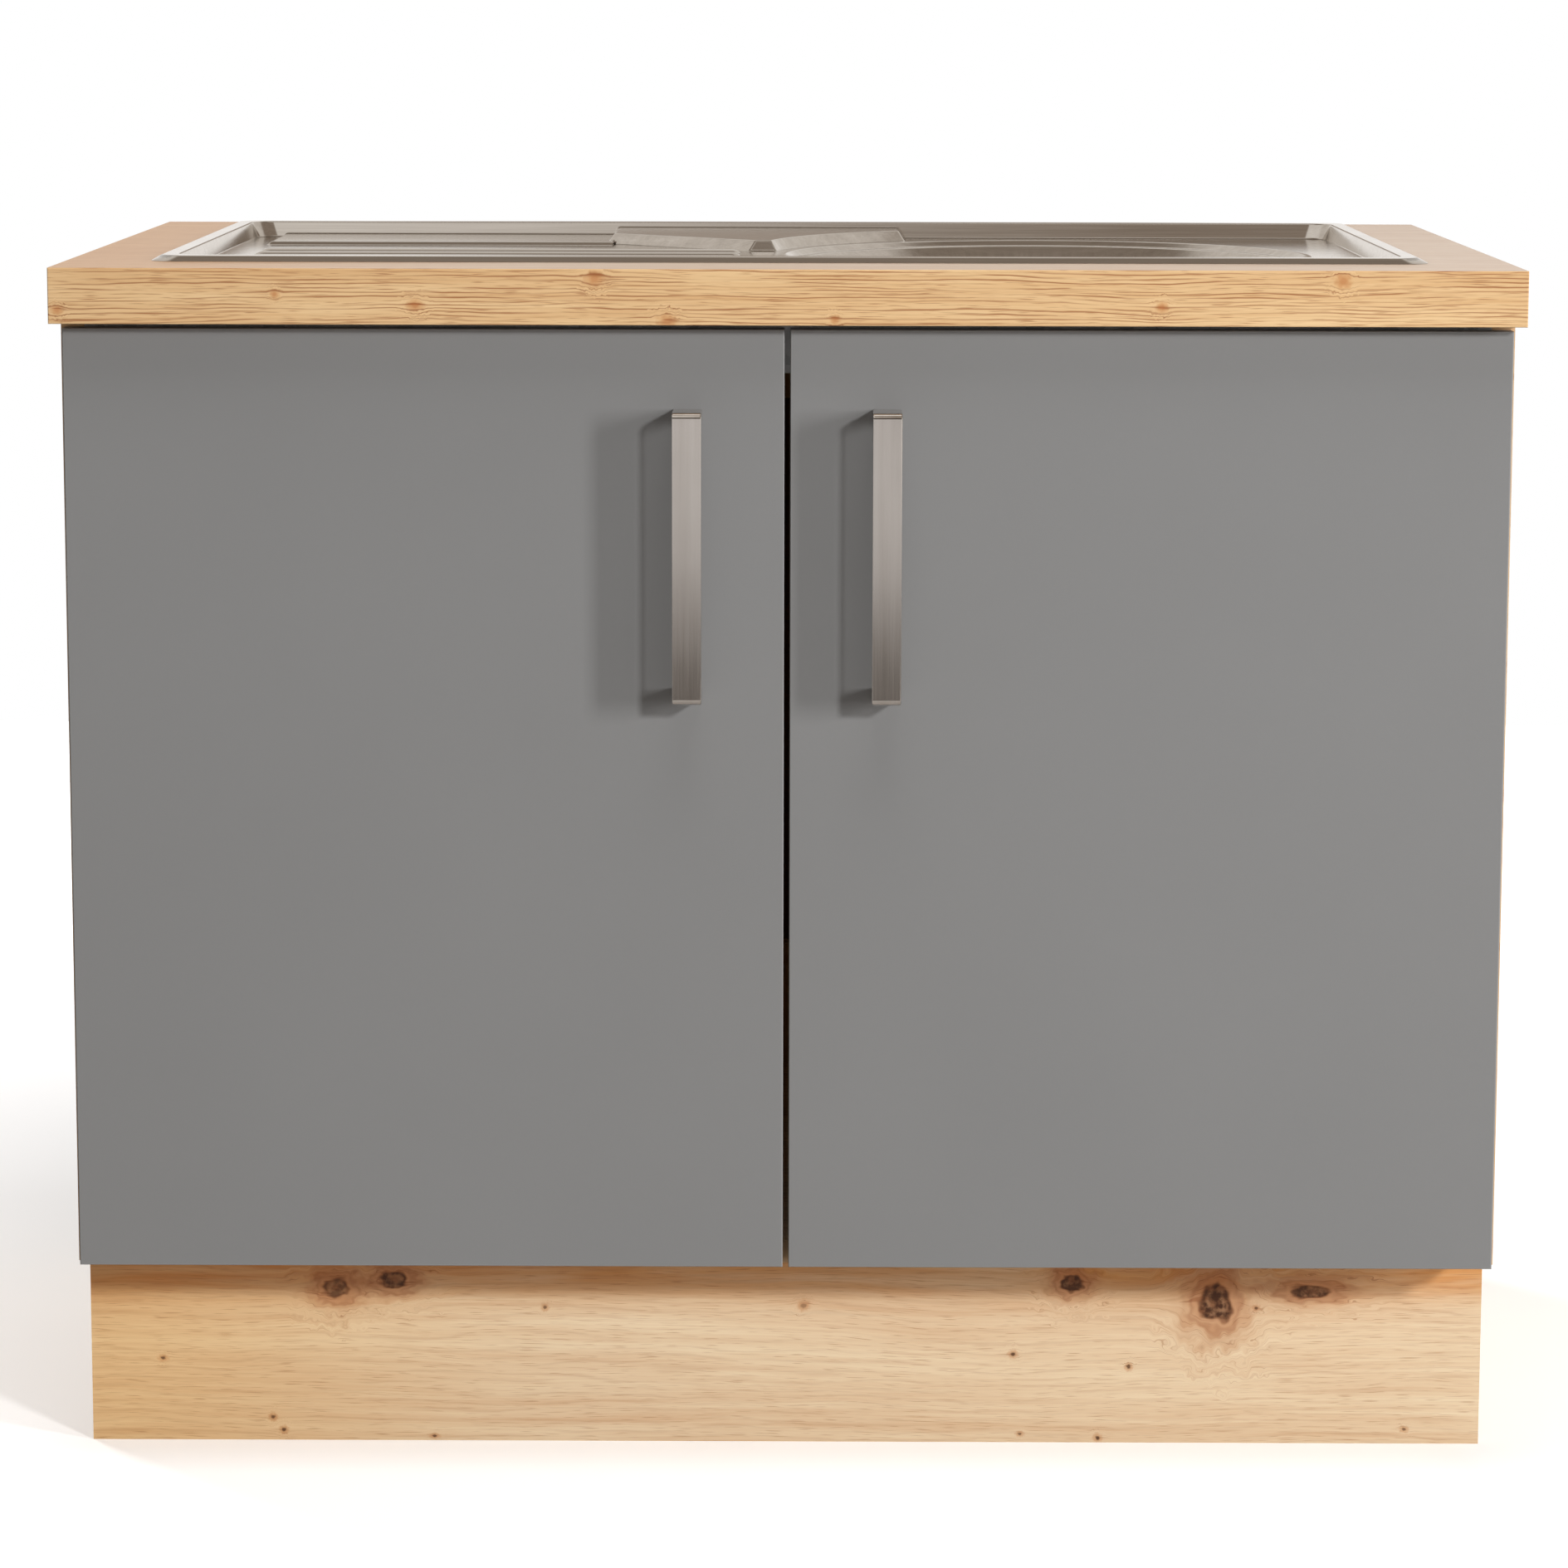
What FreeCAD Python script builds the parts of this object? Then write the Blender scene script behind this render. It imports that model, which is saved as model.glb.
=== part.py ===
import FreeCAD, Part
import math
import os
import Sketcher

# Kitchen sink unit: a two-door base cabinet with a worktop, an inset sink and its waste set.
# Frame: X to the right, Y to the back, Z up. The origin is on the floor, under the middle of
# the whole unit, handles included. The left-hand pieces are modelled and mirrored to the right.

Vector = FreeCAD.Vector
Rotation = FreeCAD.Rotation

doc = FreeCAD.newDocument("SinkUnit")

# ----------------------------------------------------------------------------- driving sizes
SIZES = [
    # worktop and carcass
    ("unit_height", 850, "floor to the top of the worktop"),
    ("worktop_width", 1000, "worktop, left to right"),
    ("worktop_depth", 600, "worktop, front to back"),
    ("worktop_thickness", 38, "worktop board"),
    ("band_thickness", 1, "edge bands of worktop, carcass and doors"),
    ("board_thickness", 16, "carcass boards and plinth"),
    ("side_overhang", 3, "worktop past each side panel"),
    ("service_gap", 19.5, "worktop back edge past the carcass"),
    ("plinth_height", 150, "plinth board, and underside of the bottom panel"),
    ("plinth_setback", 95, "plinth face behind the worktop front"),
    ("plinth_inset", 1, "plinth end inside the worktop end"),
    ("glide_height", 4, "floor glides under the side panels"),
    ("glide_radius", 7.5, "floor glides"),
    ("glide_inset", 15, "side panel end to glide centre"),
    ("rear_rail_height", 100, "rear top rail and rear bottom rail"),
    ("steel_rail_height", 35, "front face of the folded front rail"),
    ("steel_rail_depth", 26, "top face of the folded front rail"),
    ("steel_rail_lip", 10, "rear lip of the folded front rail"),
    ("steel_rail_sheet", 1.5, "sheet of the folded front rail"),
    ("back_sheet", 3, "back panel"),
    ("back_inset", 2, "edge of the back panel inside the outer faces of the carcass"),
    ("pipe_opening_width", 240, "opening in the back panel for the pipes, across"),
    ("pipe_opening_height", 240, "opening in the back panel for the pipes, upright"),
    ("pipe_opening_drop", 172, "top of the carcass to the opening for the pipes"),
    # doors and handles
    ("door_thickness", 16, "doors, bands included"),
    ("door_setback", 17, "door face behind the worktop front"),
    ("door_gap", 4, "gap between the doors"),
    ("door_reveal", 3.5, "door edge inside the outer face of the side panel"),
    ("door_top_gap", 4, "worktop underside to door"),
    ("door_lift", 2, "door above the underside of the bottom panel"),
    ("edge_round", 0.8, "round on the front edges of doors and worktop"),
    ("buffer_gap", 2.5, "door back to carcass edge"),
    ("buffer_radius", 4, "door bumpers"),
    ("buffer_play", 0.3, "closed bumper to carcass edge"),
    ("buffer_inset", 12, "door inner edge to bumper centre"),
    ("handle_length", 200, "bow handle, top to bottom"),
    ("handle_width", 20, "bow handle, across"),
    ("handle_reach", 30, "bow handle, out from the door"),
    ("handle_bar", 8, "bow handle, thickness of bar and legs"),
    ("handle_bend", 4, "outer bend of the bow handle"),
    ("handle_thread", 12, "threaded hole in each handle leg"),
    ("handle_inset", 66, "door inner edge to handle centre"),
    ("handle_drop", 54, "door top to handle top"),
    # concealed hinges
    ("hinge_inset", 100, "door end to hinge cup centre"),
    ("cup_radius", 17.5, "hinge cup hole"),
    ("cup_depth", 12.5, "hinge cup hole"),
    ("cup_tab", 3, "door edge to cup hole"),
    ("cup_ring", 1.2, "cup flange past the cup hole"),
    ("cup_wall", 1, "hinge cup and its flange"),
    ("cup_floor", 0.8, "hinge cup floor"),
    ("wing_length", 62, "hinge cup flange, upright"),
    ("wing_width", 16, "hinge cup flange, across"),
    ("wing_screw_pitch", 48, "cup screws, one to the other"),
    ("pin_radius", 1.1, "hinge pin"),
    ("pin_play", 0.08, "arm eye on the hinge pin"),
    ("eye_radius", 2, "arm eye, outside"),
    ("eye_play", 0.8, "arm eye to the cup wall beside it"),
    ("arm_play", 0.3, "arm eye to the cup floor and the cup ears"),
    ("ear_width", 4.8, "ears that hold the pin in the cup, across"),
    ("ear_thickness", 3, "ears that hold the pin in the cup, along the pin"),
    ("eye_width", 8, "arm hook and eye, along the pin"),
    ("arm_sheet", 1.5, "hinge arm sheet"),
    ("arm_width", 14, "hinge arm channel"),
    ("arm_length", 62, "hinge arm channel behind the carcass edge"),
    ("arm_lift", 13, "side panel face to outer face of the hinge arm"),
    ("arm_cheek", 7.8, "cheeks of the hinge arm channel"),
    ("hook_tail", 4.5, "hook of the arm behind the carcass edge"),
    ("plate_wing", 48, "mounting plate, upright"),
    ("plate_sheet", 2.5, "mounting plate wing"),
    ("plate_setback", 37, "carcass edge to the mounting plate screws"),
    ("plate_screw_pitch", 32, "mounting plate screws, one to the other"),
    # sink
    ("sink_left", 58, "worktop left end to sink rim"),
    ("sink_right", 56, "worktop right end to sink rim"),
    ("sink_front", 70, "worktop front to sink rim"),
    ("sink_back", 48, "worktop back to sink rim"),
    ("sink_corner", 16, "outer corner of the sink rim"),
    ("sink_sheet", 1, "sink sheet"),
    ("rim_height", 4, "sink rim above the worktop"),
    ("rim_bevel", 7, "sloping outer face of the rim"),
    ("rim_width", 18, "rim, outer edge to the recess"),
    ("recess_depth", 8, "recess floor below the worktop surface"),
    ("recess_slope", 4, "lean of the recess wall"),
    ("cutout_inset", 12, "rim edge to worktop cut-out"),
    ("bowl_right", 253, "right end of the sink rim to bowl centre"),
    ("bowl_back", 242, "back of the sink rim to bowl centre"),
    ("bowl_radius", 196, "bowl mouth in the recess floor"),
    ("bowl_drop", 150, "bowl floor below the recess floor"),
    ("lip_width", 11, "each of the two lips of the bowl mouth"),
    ("lip_drop", 5, "each of the two lips of the bowl mouth"),
    ("bowl_taper", 8, "bowl wall, top to bottom"),
    ("bowl_corner", 40, "bowl wall to bowl floor"),
    ("drain_radius", 45, "hole in the bowl floor"),
    ("drain_seat_radius", 60, "sunk seat round the drain hole"),
    ("drain_seat_drop", 3, "sunk seat round the drain hole"),
    ("rib_left", 42, "left end of the sink rim to the ribs"),
    ("rib_gap", 26, "ribs to bowl mouth"),
    ("rib_rise", 2.5, "drainer ribs and rear step above the recess floor"),
    ("rib_round", 12, "radius of the rib's back"),
    ("rib_pitch", 38, "rib to rib"),
    ("rib_count", 4, "evenly spaced ribs"),
    ("rib_rear", 219, "back of the sink rim to the rearmost rib"),
    ("rib_front", 87, "front of the sink rim to the single front rib"),
    ("step_front", 134, "back of the sink rim to the front of the rear step"),
    ("step_slope", 5, "lean of the step and the tap deck"),
    ("deck_left", 331, "bowl centre to the left end of the tap deck"),
    ("deck_right", 101, "bowl centre to the right end of the tap deck"),
    ("deck_front", 204, "back of the sink rim to the front edge of the tap deck"),
    ("deck_shoulder", 108, "back of the sink rim to the shoulder of the tap deck"),
    ("deck_chamfer", 110, "sloping front corner of the tap deck, across"),
    ("deck_margin", 8, "tap deck to bowl mouth"),
    # waste set
    ("flange_radius", 57, "strainer flange"),
    ("flange_sheet", 1.5, "strainer flange"),
    ("skirt_wall", 1.5, "strainer flange skirt"),
    ("skirt_depth", 14, "strainer flange skirt"),
    ("seal_thickness", 2, "strainer seal"),
    ("waste_depth", 46, "waste body below the bowl"),
    ("waste_wall", 3, "waste body"),
    ("pipe_radius", 20, "trap pipes, outside"),
    ("pipe_wall", 2, "trap pipes"),
    ("bead_width", 3, "stop bead of the outlet pipe behind its nut"),
    ("bead_rise", 2, "stop bead of the outlet pipe behind its nut"),
    ("spigot_length", 28, "waste body outlet"),
    ("nut_radius", 27, "trap nuts"),
    ("nut_height", 20, "trap nuts"),
    ("inlet_length", 90, "trap inlet pipe"),
    ("trap_radius", 36, "bottle trap"),
    ("trap_wall", 3, "bottle trap"),
    ("trap_neck", 9, "neck of the bottle trap round the inlet pipe"),
    ("trap_shoulder", 6, "shoulder of the bottle trap"),
    ("thread_play", 0.2, "nuts, neck and cup on what they screw to"),
    ("trap_height", 110, "bottle trap body"),
    ("trap_cup_height", 40, "bottle trap cup"),
    ("outlet_drop", 34, "trap body top to outlet centre"),
    ("outlet_stub", 16, "trap outlet beyond the trap body"),
    ("basket_play", 1, "strainer basket to flange skirt"),
    ("basket_depth", 30, "strainer basket"),
    ("basket_sheet", 1, "strainer basket"),
    ("basket_rim", 4, "rim and taper of the strainer basket"),
    ("basket_hole_radius", 2.5, "holes of the strainer basket"),
    ("basket_hole_count", 6, "holes in the inner ring, and half of the outer ring"),
    ("knob_radius", 7.5, "knob of the strainer basket"),
    ("knob_height", 7.5, "knob of the strainer basket"),
    ("stem_radius", 2.5, "stem of the strainer basket's knob"),
    # fasteners
    ("dowel_radius", 4, "wood dowels"),
    ("dowel_length", 32, "wood dowels"),
    ("dowel_bite", 10, "dowel in the side panel"),
    ("cam_radius", 7.5, "cam discs"),
    ("cam_depth", 12.5, "cam discs"),
    ("cam_reach", 34, "board end to cam centre"),
    ("cam_bolt_radius", 3, "cam bolts"),
    ("screw_radius", 2, "shank of the small screws"),
    ("screw_head_radius", 4, "head of the small screws"),
    ("screw_head_flat", 2.8, "flat top of the small screw's head, radius"),
    ("screw_head_height", 2, "head of the small screws"),
    ("screw_length", 12, "shank of the small screws"),
    ("bracket_leg", 28, "legs of the angle brackets"),
    ("bracket_width", 20, "angle brackets"),
    ("bracket_sheet", 2, "angle brackets"),
    ("bracket_hole", 17, "corner of the angle bracket to its holes"),
    ("bracket_inset", 20, "front and rear rails to the worktop brackets"),
    ("clamp_width", 16, "sink clamps"),
    ("clamp_foot", 20, "foot of a sink clamp under the worktop"),
    ("clamp_sheet", 1.5, "sink clamps"),
    ("clamp_drop", 8, "clamp foot below the worktop"),
]

# where joints sit along a board, as shares of its length
DOWEL_SHARES = (0.1, 0.5, 0.8)
CAM_SHARES = (0.25, 0.7)
RAIL_DOWEL_SHARES = (0.25, 0.75)
RAIL_CAM_SHARE = 0.5
BACK_SCREW_SHARES = (0.1, 0.5, 0.9)
# rings of basket holes, as shares of the radius of the basket's floor
BASKET_RINGS = (0.35, 0.7)
# how near a length has to be for an edge to be the one looked for, in millimetres
TOLERANCE = 0.001

sheet = doc.addObject("Spreadsheet::Sheet", "Dims")
for row, (alias, value, meaning) in enumerate(SIZES, start=1):
    sheet.set(f"A{row}", alias)
    sheet.set(f"B{row}", str(value))
    sheet.set(f"C{row}", meaning)
    sheet.setAlias(f"B{row}", alias)
doc.recompute()


class Size:
    """A length of the model: one cell of the sheet, or a sum worked out from cells."""

    def __init__(self, text):
        self.text = text

    def __add__(self, other):
        return Size(f"({self.text} + {text_of(other)})")

    def __radd__(self, other):
        return Size(f"({text_of(other)} + {self.text})")

    def __sub__(self, other):
        return Size(f"({self.text} - {text_of(other)})")

    def __rsub__(self, other):
        return Size(f"({text_of(other)} - {self.text})")

    def __mul__(self, other):
        return Size(f"({self.text} * {text_of(other)})")

    __rmul__ = __mul__

    def __truediv__(self, other):
        return Size(f"({self.text} / {text_of(other)})")

    def __neg__(self):
        return Size(f"(0 - {self.text})")

    def __float__(self):
        return float(sheet.evalExpression(self.text))


def text_of(size):
    """The expression of a size or a plain number."""
    return size.text if isinstance(size, Size) else repr(size)


class Cells:
    """The sheet's cells by alias, such as dims.board_thickness."""

    def __getattr__(self, alias):
        return Size(f"Dims.{alias}")


dims = Cells()
ZERO = Size("0")

# ----------------------------------------------------------------------------- derived places
worktop_half = dims.worktop_width / 2
front = (dims.handle_reach - dims.door_setback - dims.worktop_depth) / 2
worktop_back = front + dims.worktop_depth
carcass_top = dims.unit_height - dims.worktop_thickness
carcass_half = worktop_half - dims.side_overhang
inner_half = carcass_half - dims.board_thickness
door_face = front + dims.door_setback
door_back = door_face + dims.door_thickness
carcass_front = door_back + dims.buffer_gap
carcass_back = worktop_back - dims.service_gap
bottom_top = dims.plinth_height + dims.board_thickness
plinth_face = front + dims.plinth_setback
plinth_back = plinth_face + dims.board_thickness
door_low = dims.plinth_height + dims.door_lift
door_high = carcass_top - dims.door_top_gap
door_height = door_high - door_low
door_width = carcass_half - dims.door_reveal - dims.door_gap / 2
door_outer = -(carcass_half - dims.door_reveal)
handle_x = -(dims.door_gap / 2 + dims.handle_inset)
handle_top = door_high - dims.handle_drop
handle_leg_pitch = dims.handle_length - dims.handle_bar
hinge_heights = [door_low + dims.hinge_inset, door_high - dims.hinge_inset]
cup_x = door_outer + dims.cup_tab + dims.cup_radius
wing_middle = cup_x + dims.cup_radius / 2
pin_x = door_outer + dims.cup_tab + dims.cup_wall + dims.eye_radius + dims.eye_play
pin_y = door_back - dims.cup_depth + dims.cup_floor + dims.eye_radius + dims.arm_play
rim_left = dims.sink_left - worktop_half
rim_right = worktop_half - dims.sink_right
rim_front = front + dims.sink_front
rim_back = worktop_back - dims.sink_back
bowl_x = rim_right - dims.bowl_right
bowl_y = rim_back - dims.bowl_back
ribs_left = rim_left + dims.rib_left
ribs_right = bowl_x - dims.bowl_radius - dims.rib_gap
deck_left = bowl_x - dims.deck_left
floor_of_recess = dims.unit_height - dims.recess_depth
bowl_floor = floor_of_recess - dims.bowl_drop


# ----------------------------------------------------------------------------- building tools
def bind(item, **sizes):
    """Ties properties of an object to the sheet."""
    for name, size in sizes.items():
        item.setExpression(name, text_of(size))
    return item


def place(item, x=0, y=0, z=0, turn=None):
    """Puts an object at a place tied to the sheet, turned about its own origin."""
    if turn is not None:
        item.Placement.Rotation = turn
    for axis, size in zip("xyz", (x, y, z)):
        item.setExpression(f"Placement.Base.{axis}", text_of(size))
    return item


ALONG = {
    "x": Rotation(Vector(0, 1, 0), 90),
    "-x": Rotation(Vector(0, 1, 0), -90),
    "y": Rotation(Vector(1, 0, 0), -90),
    "-y": Rotation(Vector(1, 0, 0), 90),
    "z": Rotation(),
    "-z": Rotation(Vector(1, 0, 0), 180),
}


def box(name, x, y, z):
    """A box between two places on each axis, given as (low, high) pairs."""
    item = doc.addObject("Part::Box", name)
    bind(item, Length=x[1] - x[0], Width=y[1] - y[0], Height=z[1] - z[0])
    return place(item, x[0], y[0], z[0])


def rod(name, radius, length, at, along="z"):
    """A cylinder that starts at a place and runs along an axis."""
    item = doc.addObject("Part::Cylinder", name)
    bind(item, Radius=radius, Height=length)
    return place(item, *at, turn=ALONG[along])


def group(name, items):
    """Separate solids kept together."""
    item = doc.addObject("Part::Compound", name)
    item.Links = items
    return item


def join(name, items):
    """Solids grown into one."""
    if len(items) == 1:
        return items[0]
    item = doc.addObject("Part::MultiFuse", name)
    item.Shapes = items
    return item


def cut(name, base, tools):
    """A solid less the tools."""
    item = doc.addObject("Part::Cut", name)
    item.Base = base
    item.Tool = join(f"{name}_tools", tools)
    return item


def common(name, base, tool):
    """What two solids share."""
    item = doc.addObject("Part::Common", name)
    item.Base = base
    item.Tool = tool
    return item


def mirrored(name, source):
    """The right-hand twin of a left-hand piece."""
    item = doc.addObject("Part::Mirroring", name)
    item.Source = source
    item.Base = Vector(0, 0, 0)
    item.Normal = Vector(1, 0, 0)
    return item


def with_twins(name, items):
    """The left-hand solids and their right-hand twins."""
    return items + [mirrored(f"{name}_twin_{index}", item) for index, item in enumerate(items)]


def copy_at(name, source, at, along="z"):
    """A copy of a piece at a place, with the piece's Z axis turned along an axis."""
    item = group(name, [source])
    return place(item, *at, turn=ALONG[along])


def origin_plane(body, role):
    """One of a body's own origin planes."""
    return next(item for item in body.Origin.OriginFeatures if item.Role == role)


def sketch_on(body, name, role):
    """An empty sketch on an origin plane of a body."""
    sketch = body.newObject("Sketcher::SketchObject", name)
    sketch.AttachmentSupport = [(origin_plane(body, role), "")]
    sketch.MapMode = "FlatFace"
    return sketch


def hold(sketch, kind, geometry, point, size):
    """A dimension from the sketch's origin to a point, tied to the sheet."""
    index = sketch.addConstraint(Sketcher.Constraint(kind, -1, 1, geometry, point, float(size)))
    sketch.setExpression(f"Constraints[{index}]", text_of(size))


def draw(sketch, corners):
    """A closed outline of straight lines through corners, each held by two dimensions."""
    points = [Vector(float(u), float(v), 0) for u, v in corners]
    count = len(points)
    for index in range(count):
        sketch.addGeometry(Part.LineSegment(points[index], points[(index + 1) % count]), False)
    for index in range(count):
        sketch.addConstraint(Sketcher.Constraint("Coincident", index, 2, (index + 1) % count, 1))
    for index, (u, v) in enumerate(corners):
        hold(sketch, "DistanceX", index, 1, size_of(u))
        hold(sketch, "DistanceY", index, 1, size_of(v))


def size_of(value):
    """A plain number as a Size."""
    return value if isinstance(value, Size) else Size(repr(value))


def padded(name, corners, role, thickness, middle=False):
    """A body with one outline padded square to its plane."""
    body = doc.addObject("PartDesign::Body", name)
    sketch = sketch_on(body, f"{name}_outline", role)
    draw(sketch, corners)
    pad = body.newObject("PartDesign::Pad", f"{name}_pad")
    pad.Profile = sketch
    pad.Midplane = middle
    bind(pad, Length=thickness)
    return body


def edges_at(shape, wanted):
    """The names of the edges whose curve, middle and ends pass a test."""
    names = []
    for index, edge in enumerate(shape.Edges, start=1):
        if wanted(edge):
            names.append(f"Edge{index}")
    if not names:
        raise ValueError("no edge passes the test")
    return names


def fillet_on(body, name, wanted, radius):
    """Rounds the edges of a body that pass a test."""
    doc.recompute()
    base = body.Tip
    edges = edges_at(base.Shape, wanted)
    fillet = body.newObject("PartDesign::Fillet", name)
    fillet.Base = (base, edges)
    bind(fillet, Radius=radius)
    return body


def near(value, size):
    """Whether a length read from a shape is a size of the model."""
    return abs(value - float(size)) < TOLERANCE


def soft_block(name, x, y, z):
    """A block between (low, high) places, with its front edges rounded."""
    outline = [(x[0], z[0]), (x[1], z[0]), (x[1], z[1]), (x[0], z[1])]
    body = padded(name, outline, "XZ_Plane", y[1] - y[0])
    depth = float(y[1] - y[0])
    fillet_on(body, f"{name}_round",
              lambda edge: abs(edge.CenterOfMass.y + depth) < TOLERANCE, dims.edge_round)
    return place(body, y=y[1])


def turned(name, corners):
    """A body turned about Z from an outline of (radius, height) corners."""
    body = doc.addObject("PartDesign::Body", name)
    sketch = sketch_on(body, f"{name}_outline", "XZ_Plane")
    draw(sketch, corners)
    revolution = body.newObject("PartDesign::Revolution", f"{name}_turn")
    revolution.Profile = sketch
    revolution.ReferenceAxis = (sketch, ["V_Axis"])
    revolution.Angle = 360
    return body


def rounded(name, x, y, radius, height):
    """A sketch of a rounded rectangle lying flat at a height."""
    sketch = doc.addObject("Sketcher::SketchObject", name)
    left, right = (float(size) for size in x)
    near, far = (float(size) for size in y)
    bend = float(radius)
    centres = [(right - bend, near + bend), (right - bend, far - bend),
               (left + bend, far - bend), (left + bend, near + bend)]
    lines = [((left + bend, near), (right - bend, near)), ((right, near + bend), (right, far - bend)),
             ((right - bend, far), (left + bend, far)), ((left, far - bend), (left, near + bend))]
    for quarter, (line, centre) in enumerate(zip(lines, centres)):
        sketch.addGeometry(Part.LineSegment(Vector(*line[0], 0), Vector(*line[1], 0)), False)
        circle = Part.Circle(Vector(*centre, 0), Vector(0, 0, 1), bend)
        start = math.radians(90 * quarter - 90)
        sketch.addGeometry(Part.ArcOfCircle(circle, start, start + math.pi / 2), False)
    for index in range(8):
        sketch.addConstraint(Sketcher.Constraint("Tangent", index, 2, (index + 1) % 8, 1))
    for index, kind in ((0, "Horizontal"), (2, "Vertical"), (4, "Horizontal"), (6, "Vertical")):
        sketch.addConstraint(Sketcher.Constraint(kind, index))
    for index in (3, 5, 7):
        sketch.addConstraint(Sketcher.Constraint("Equal", 1, index))
    index = sketch.addConstraint(Sketcher.Constraint("Radius", 1, bend))
    sketch.setExpression(f"Constraints[{index}]", text_of(radius))
    hold(sketch, "DistanceX", 6, 1, x[0])
    hold(sketch, "DistanceX", 2, 1, x[1])
    hold(sketch, "DistanceY", 0, 1, y[0])
    hold(sketch, "DistanceY", 4, 1, y[1])
    return place(sketch, z=height)


def lofted(name, sections):
    """A solid ruled between two flat outlines."""
    item = doc.addObject("Part::Loft", name)
    item.Sections = sections
    item.Solid = True
    item.Ruled = True
    return item


NODES = []


def node(name, item):
    """Marks an object as a finished piece and gives it the piece's name."""
    item.Label = name
    NODES.append(item)
    return item


# ----------------------------------------------------------------------------- carcass
def build_carcass():
    """Side panels, bottom panel, rails, back panel, plinth, their bands, joints and glides."""
    notch = [(plinth_back, dims.glide_height), (carcass_back, dims.glide_height),
             (carcass_back, carcass_top), (carcass_front + dims.band_thickness, carcass_top),
             (carcass_front + dims.band_thickness, dims.plinth_height),
             (plinth_back, dims.plinth_height)]
    side = place(padded("side_blank", notch, "YZ_Plane", dims.board_thickness), x=-carcass_half)
    board_middle = dims.board_thickness / 2
    bottom_middle = dims.plinth_height + board_middle
    bottom_depth = carcass_back - carcass_front
    rear_middle = carcass_back - board_middle
    low_rail = bottom_top
    high_rail = carcass_top - dims.rear_rail_height

    def in_bottom(shares):
        """Places along the middle of the bottom panel's end."""
        return [(carcass_front + bottom_depth * share, bottom_middle) for share in shares]

    def in_rail(low, shares):
        """Places up the middle of a rear rail's end."""
        return [(rear_middle, low + dims.rear_rail_height * share) for share in shares]

    bottom_dowels = in_bottom(DOWEL_SHARES)
    low_dowels = in_rail(low_rail, RAIL_DOWEL_SHARES)
    high_dowels = in_rail(high_rail, RAIL_DOWEL_SHARES)
    bottom_cams = in_bottom(CAM_SHARES)
    low_cams = in_rail(low_rail, [RAIL_CAM_SHARE])
    high_cams = in_rail(high_rail, [RAIL_CAM_SHARE])
    bite = -inner_half - dims.dowel_bite
    bolt_length = dims.dowel_bite + dims.cam_reach

    def dowel_rods(name, spots):
        """The left-hand dowels at some places."""
        return [rod(f"{name}_{index}", dims.dowel_radius, dims.dowel_length, (bite, y, z), "x")
                for index, (y, z) in enumerate(spots)]

    def bolt_rods(name, spots):
        """The left-hand cam bolts at some places."""
        return [rod(f"{name}_{index}", dims.cam_bolt_radius, bolt_length, (bite, y, z), "x")
                for index, (y, z) in enumerate(spots)]

    all_dowels = dowel_rods("dowel", bottom_dowels + low_dowels + high_dowels)
    all_bolts = bolt_rods("cam_bolt", bottom_cams + low_cams + high_cams)
    cam_x = -inner_half + dims.cam_reach
    bottom_cam_discs = [rod(f"cam_under_{index}", dims.cam_radius, dims.cam_depth,
                            (cam_x, y, dims.plinth_height), "z")
                        for index, (y, _) in enumerate(bottom_cams)]
    rail_front = carcass_back - dims.board_thickness
    rail_cam_discs = [rod(f"cam_rail_{index}", dims.cam_radius, dims.cam_depth,
                          (cam_x, rail_front, z), "y")
                      for index, (_, z) in enumerate(low_cams + high_cams)]
    cams = bottom_cam_discs + rail_cam_discs

    back_holes = [screw_hole(f"back_hole_{index}", at, "-y")
                  for index, at in enumerate(back_screw_places())]
    back_holes = with_twins("back_hole", back_holes)
    side_holes = all_dowels + all_bolts + hinge_plate_holes() + side_bracket_holes() + back_holes
    left = node("left_side_panel", cut("side_drilled", side, side_holes))
    node("right_side_panel", mirrored("right_side", left))

    dowels = with_twins("dowel", all_dowels)
    bolts = [cut(f"cam_bolt_shank_{index}", bolt, [cam])
             for index, (bolt, cam) in enumerate(zip(all_bolts, cams))]
    bolts = with_twins("cam_bolt", bolts)
    cams = with_twins("cam", cams)
    bolt_holes = with_twins("cam_bolt_hole", all_bolts)
    holes = dowels + bolt_holes + cams + back_holes
    span = (-inner_half, inner_half)
    boards = [
        ("bottom_panel", (carcass_front + dims.band_thickness, carcass_back),
         (dims.plinth_height, bottom_top)),
        ("rear_bottom_rail", (rail_front, carcass_back), (low_rail, low_rail + dims.rear_rail_height)),
        ("rear_top_rail", (rail_front, carcass_back), (high_rail, carcass_top)),
    ]
    for name, depth, height in boards:
        blank = box(f"{name}_blank", span, depth, height)
        node(name, cut(f"{name}_drilled", blank, holes))
    node("wood_dowels", group("dowel_set", dowels))
    node("cam_bolts", group("cam_bolt_set", bolts))
    node("cam_discs", group("cam_set", cams))
    build_back_panel(back_holes)

    band = (carcass_front, carcass_front + dims.band_thickness)
    left_band = box("side_band", (-carcass_half, -inner_half), band, (dims.plinth_height, carcass_top))
    right_band = mirrored("right_side_band", left_band)
    bottom_band = box("bottom_band", span, band, (dims.plinth_height, bottom_top))
    node("carcass_edge_bands", group("band_set", [left_band, right_band, bottom_band]))

    plinth_half = worktop_half - dims.plinth_inset
    plinth = box("plinth_blank", (-plinth_half, plinth_half), (plinth_face, plinth_back),
                 (ZERO, dims.plinth_height))
    plinth_holes = with_twins("plinth_hole", plinth_screw_holes())
    node("plinth_board", cut("plinth_drilled", plinth, plinth_holes))

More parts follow.
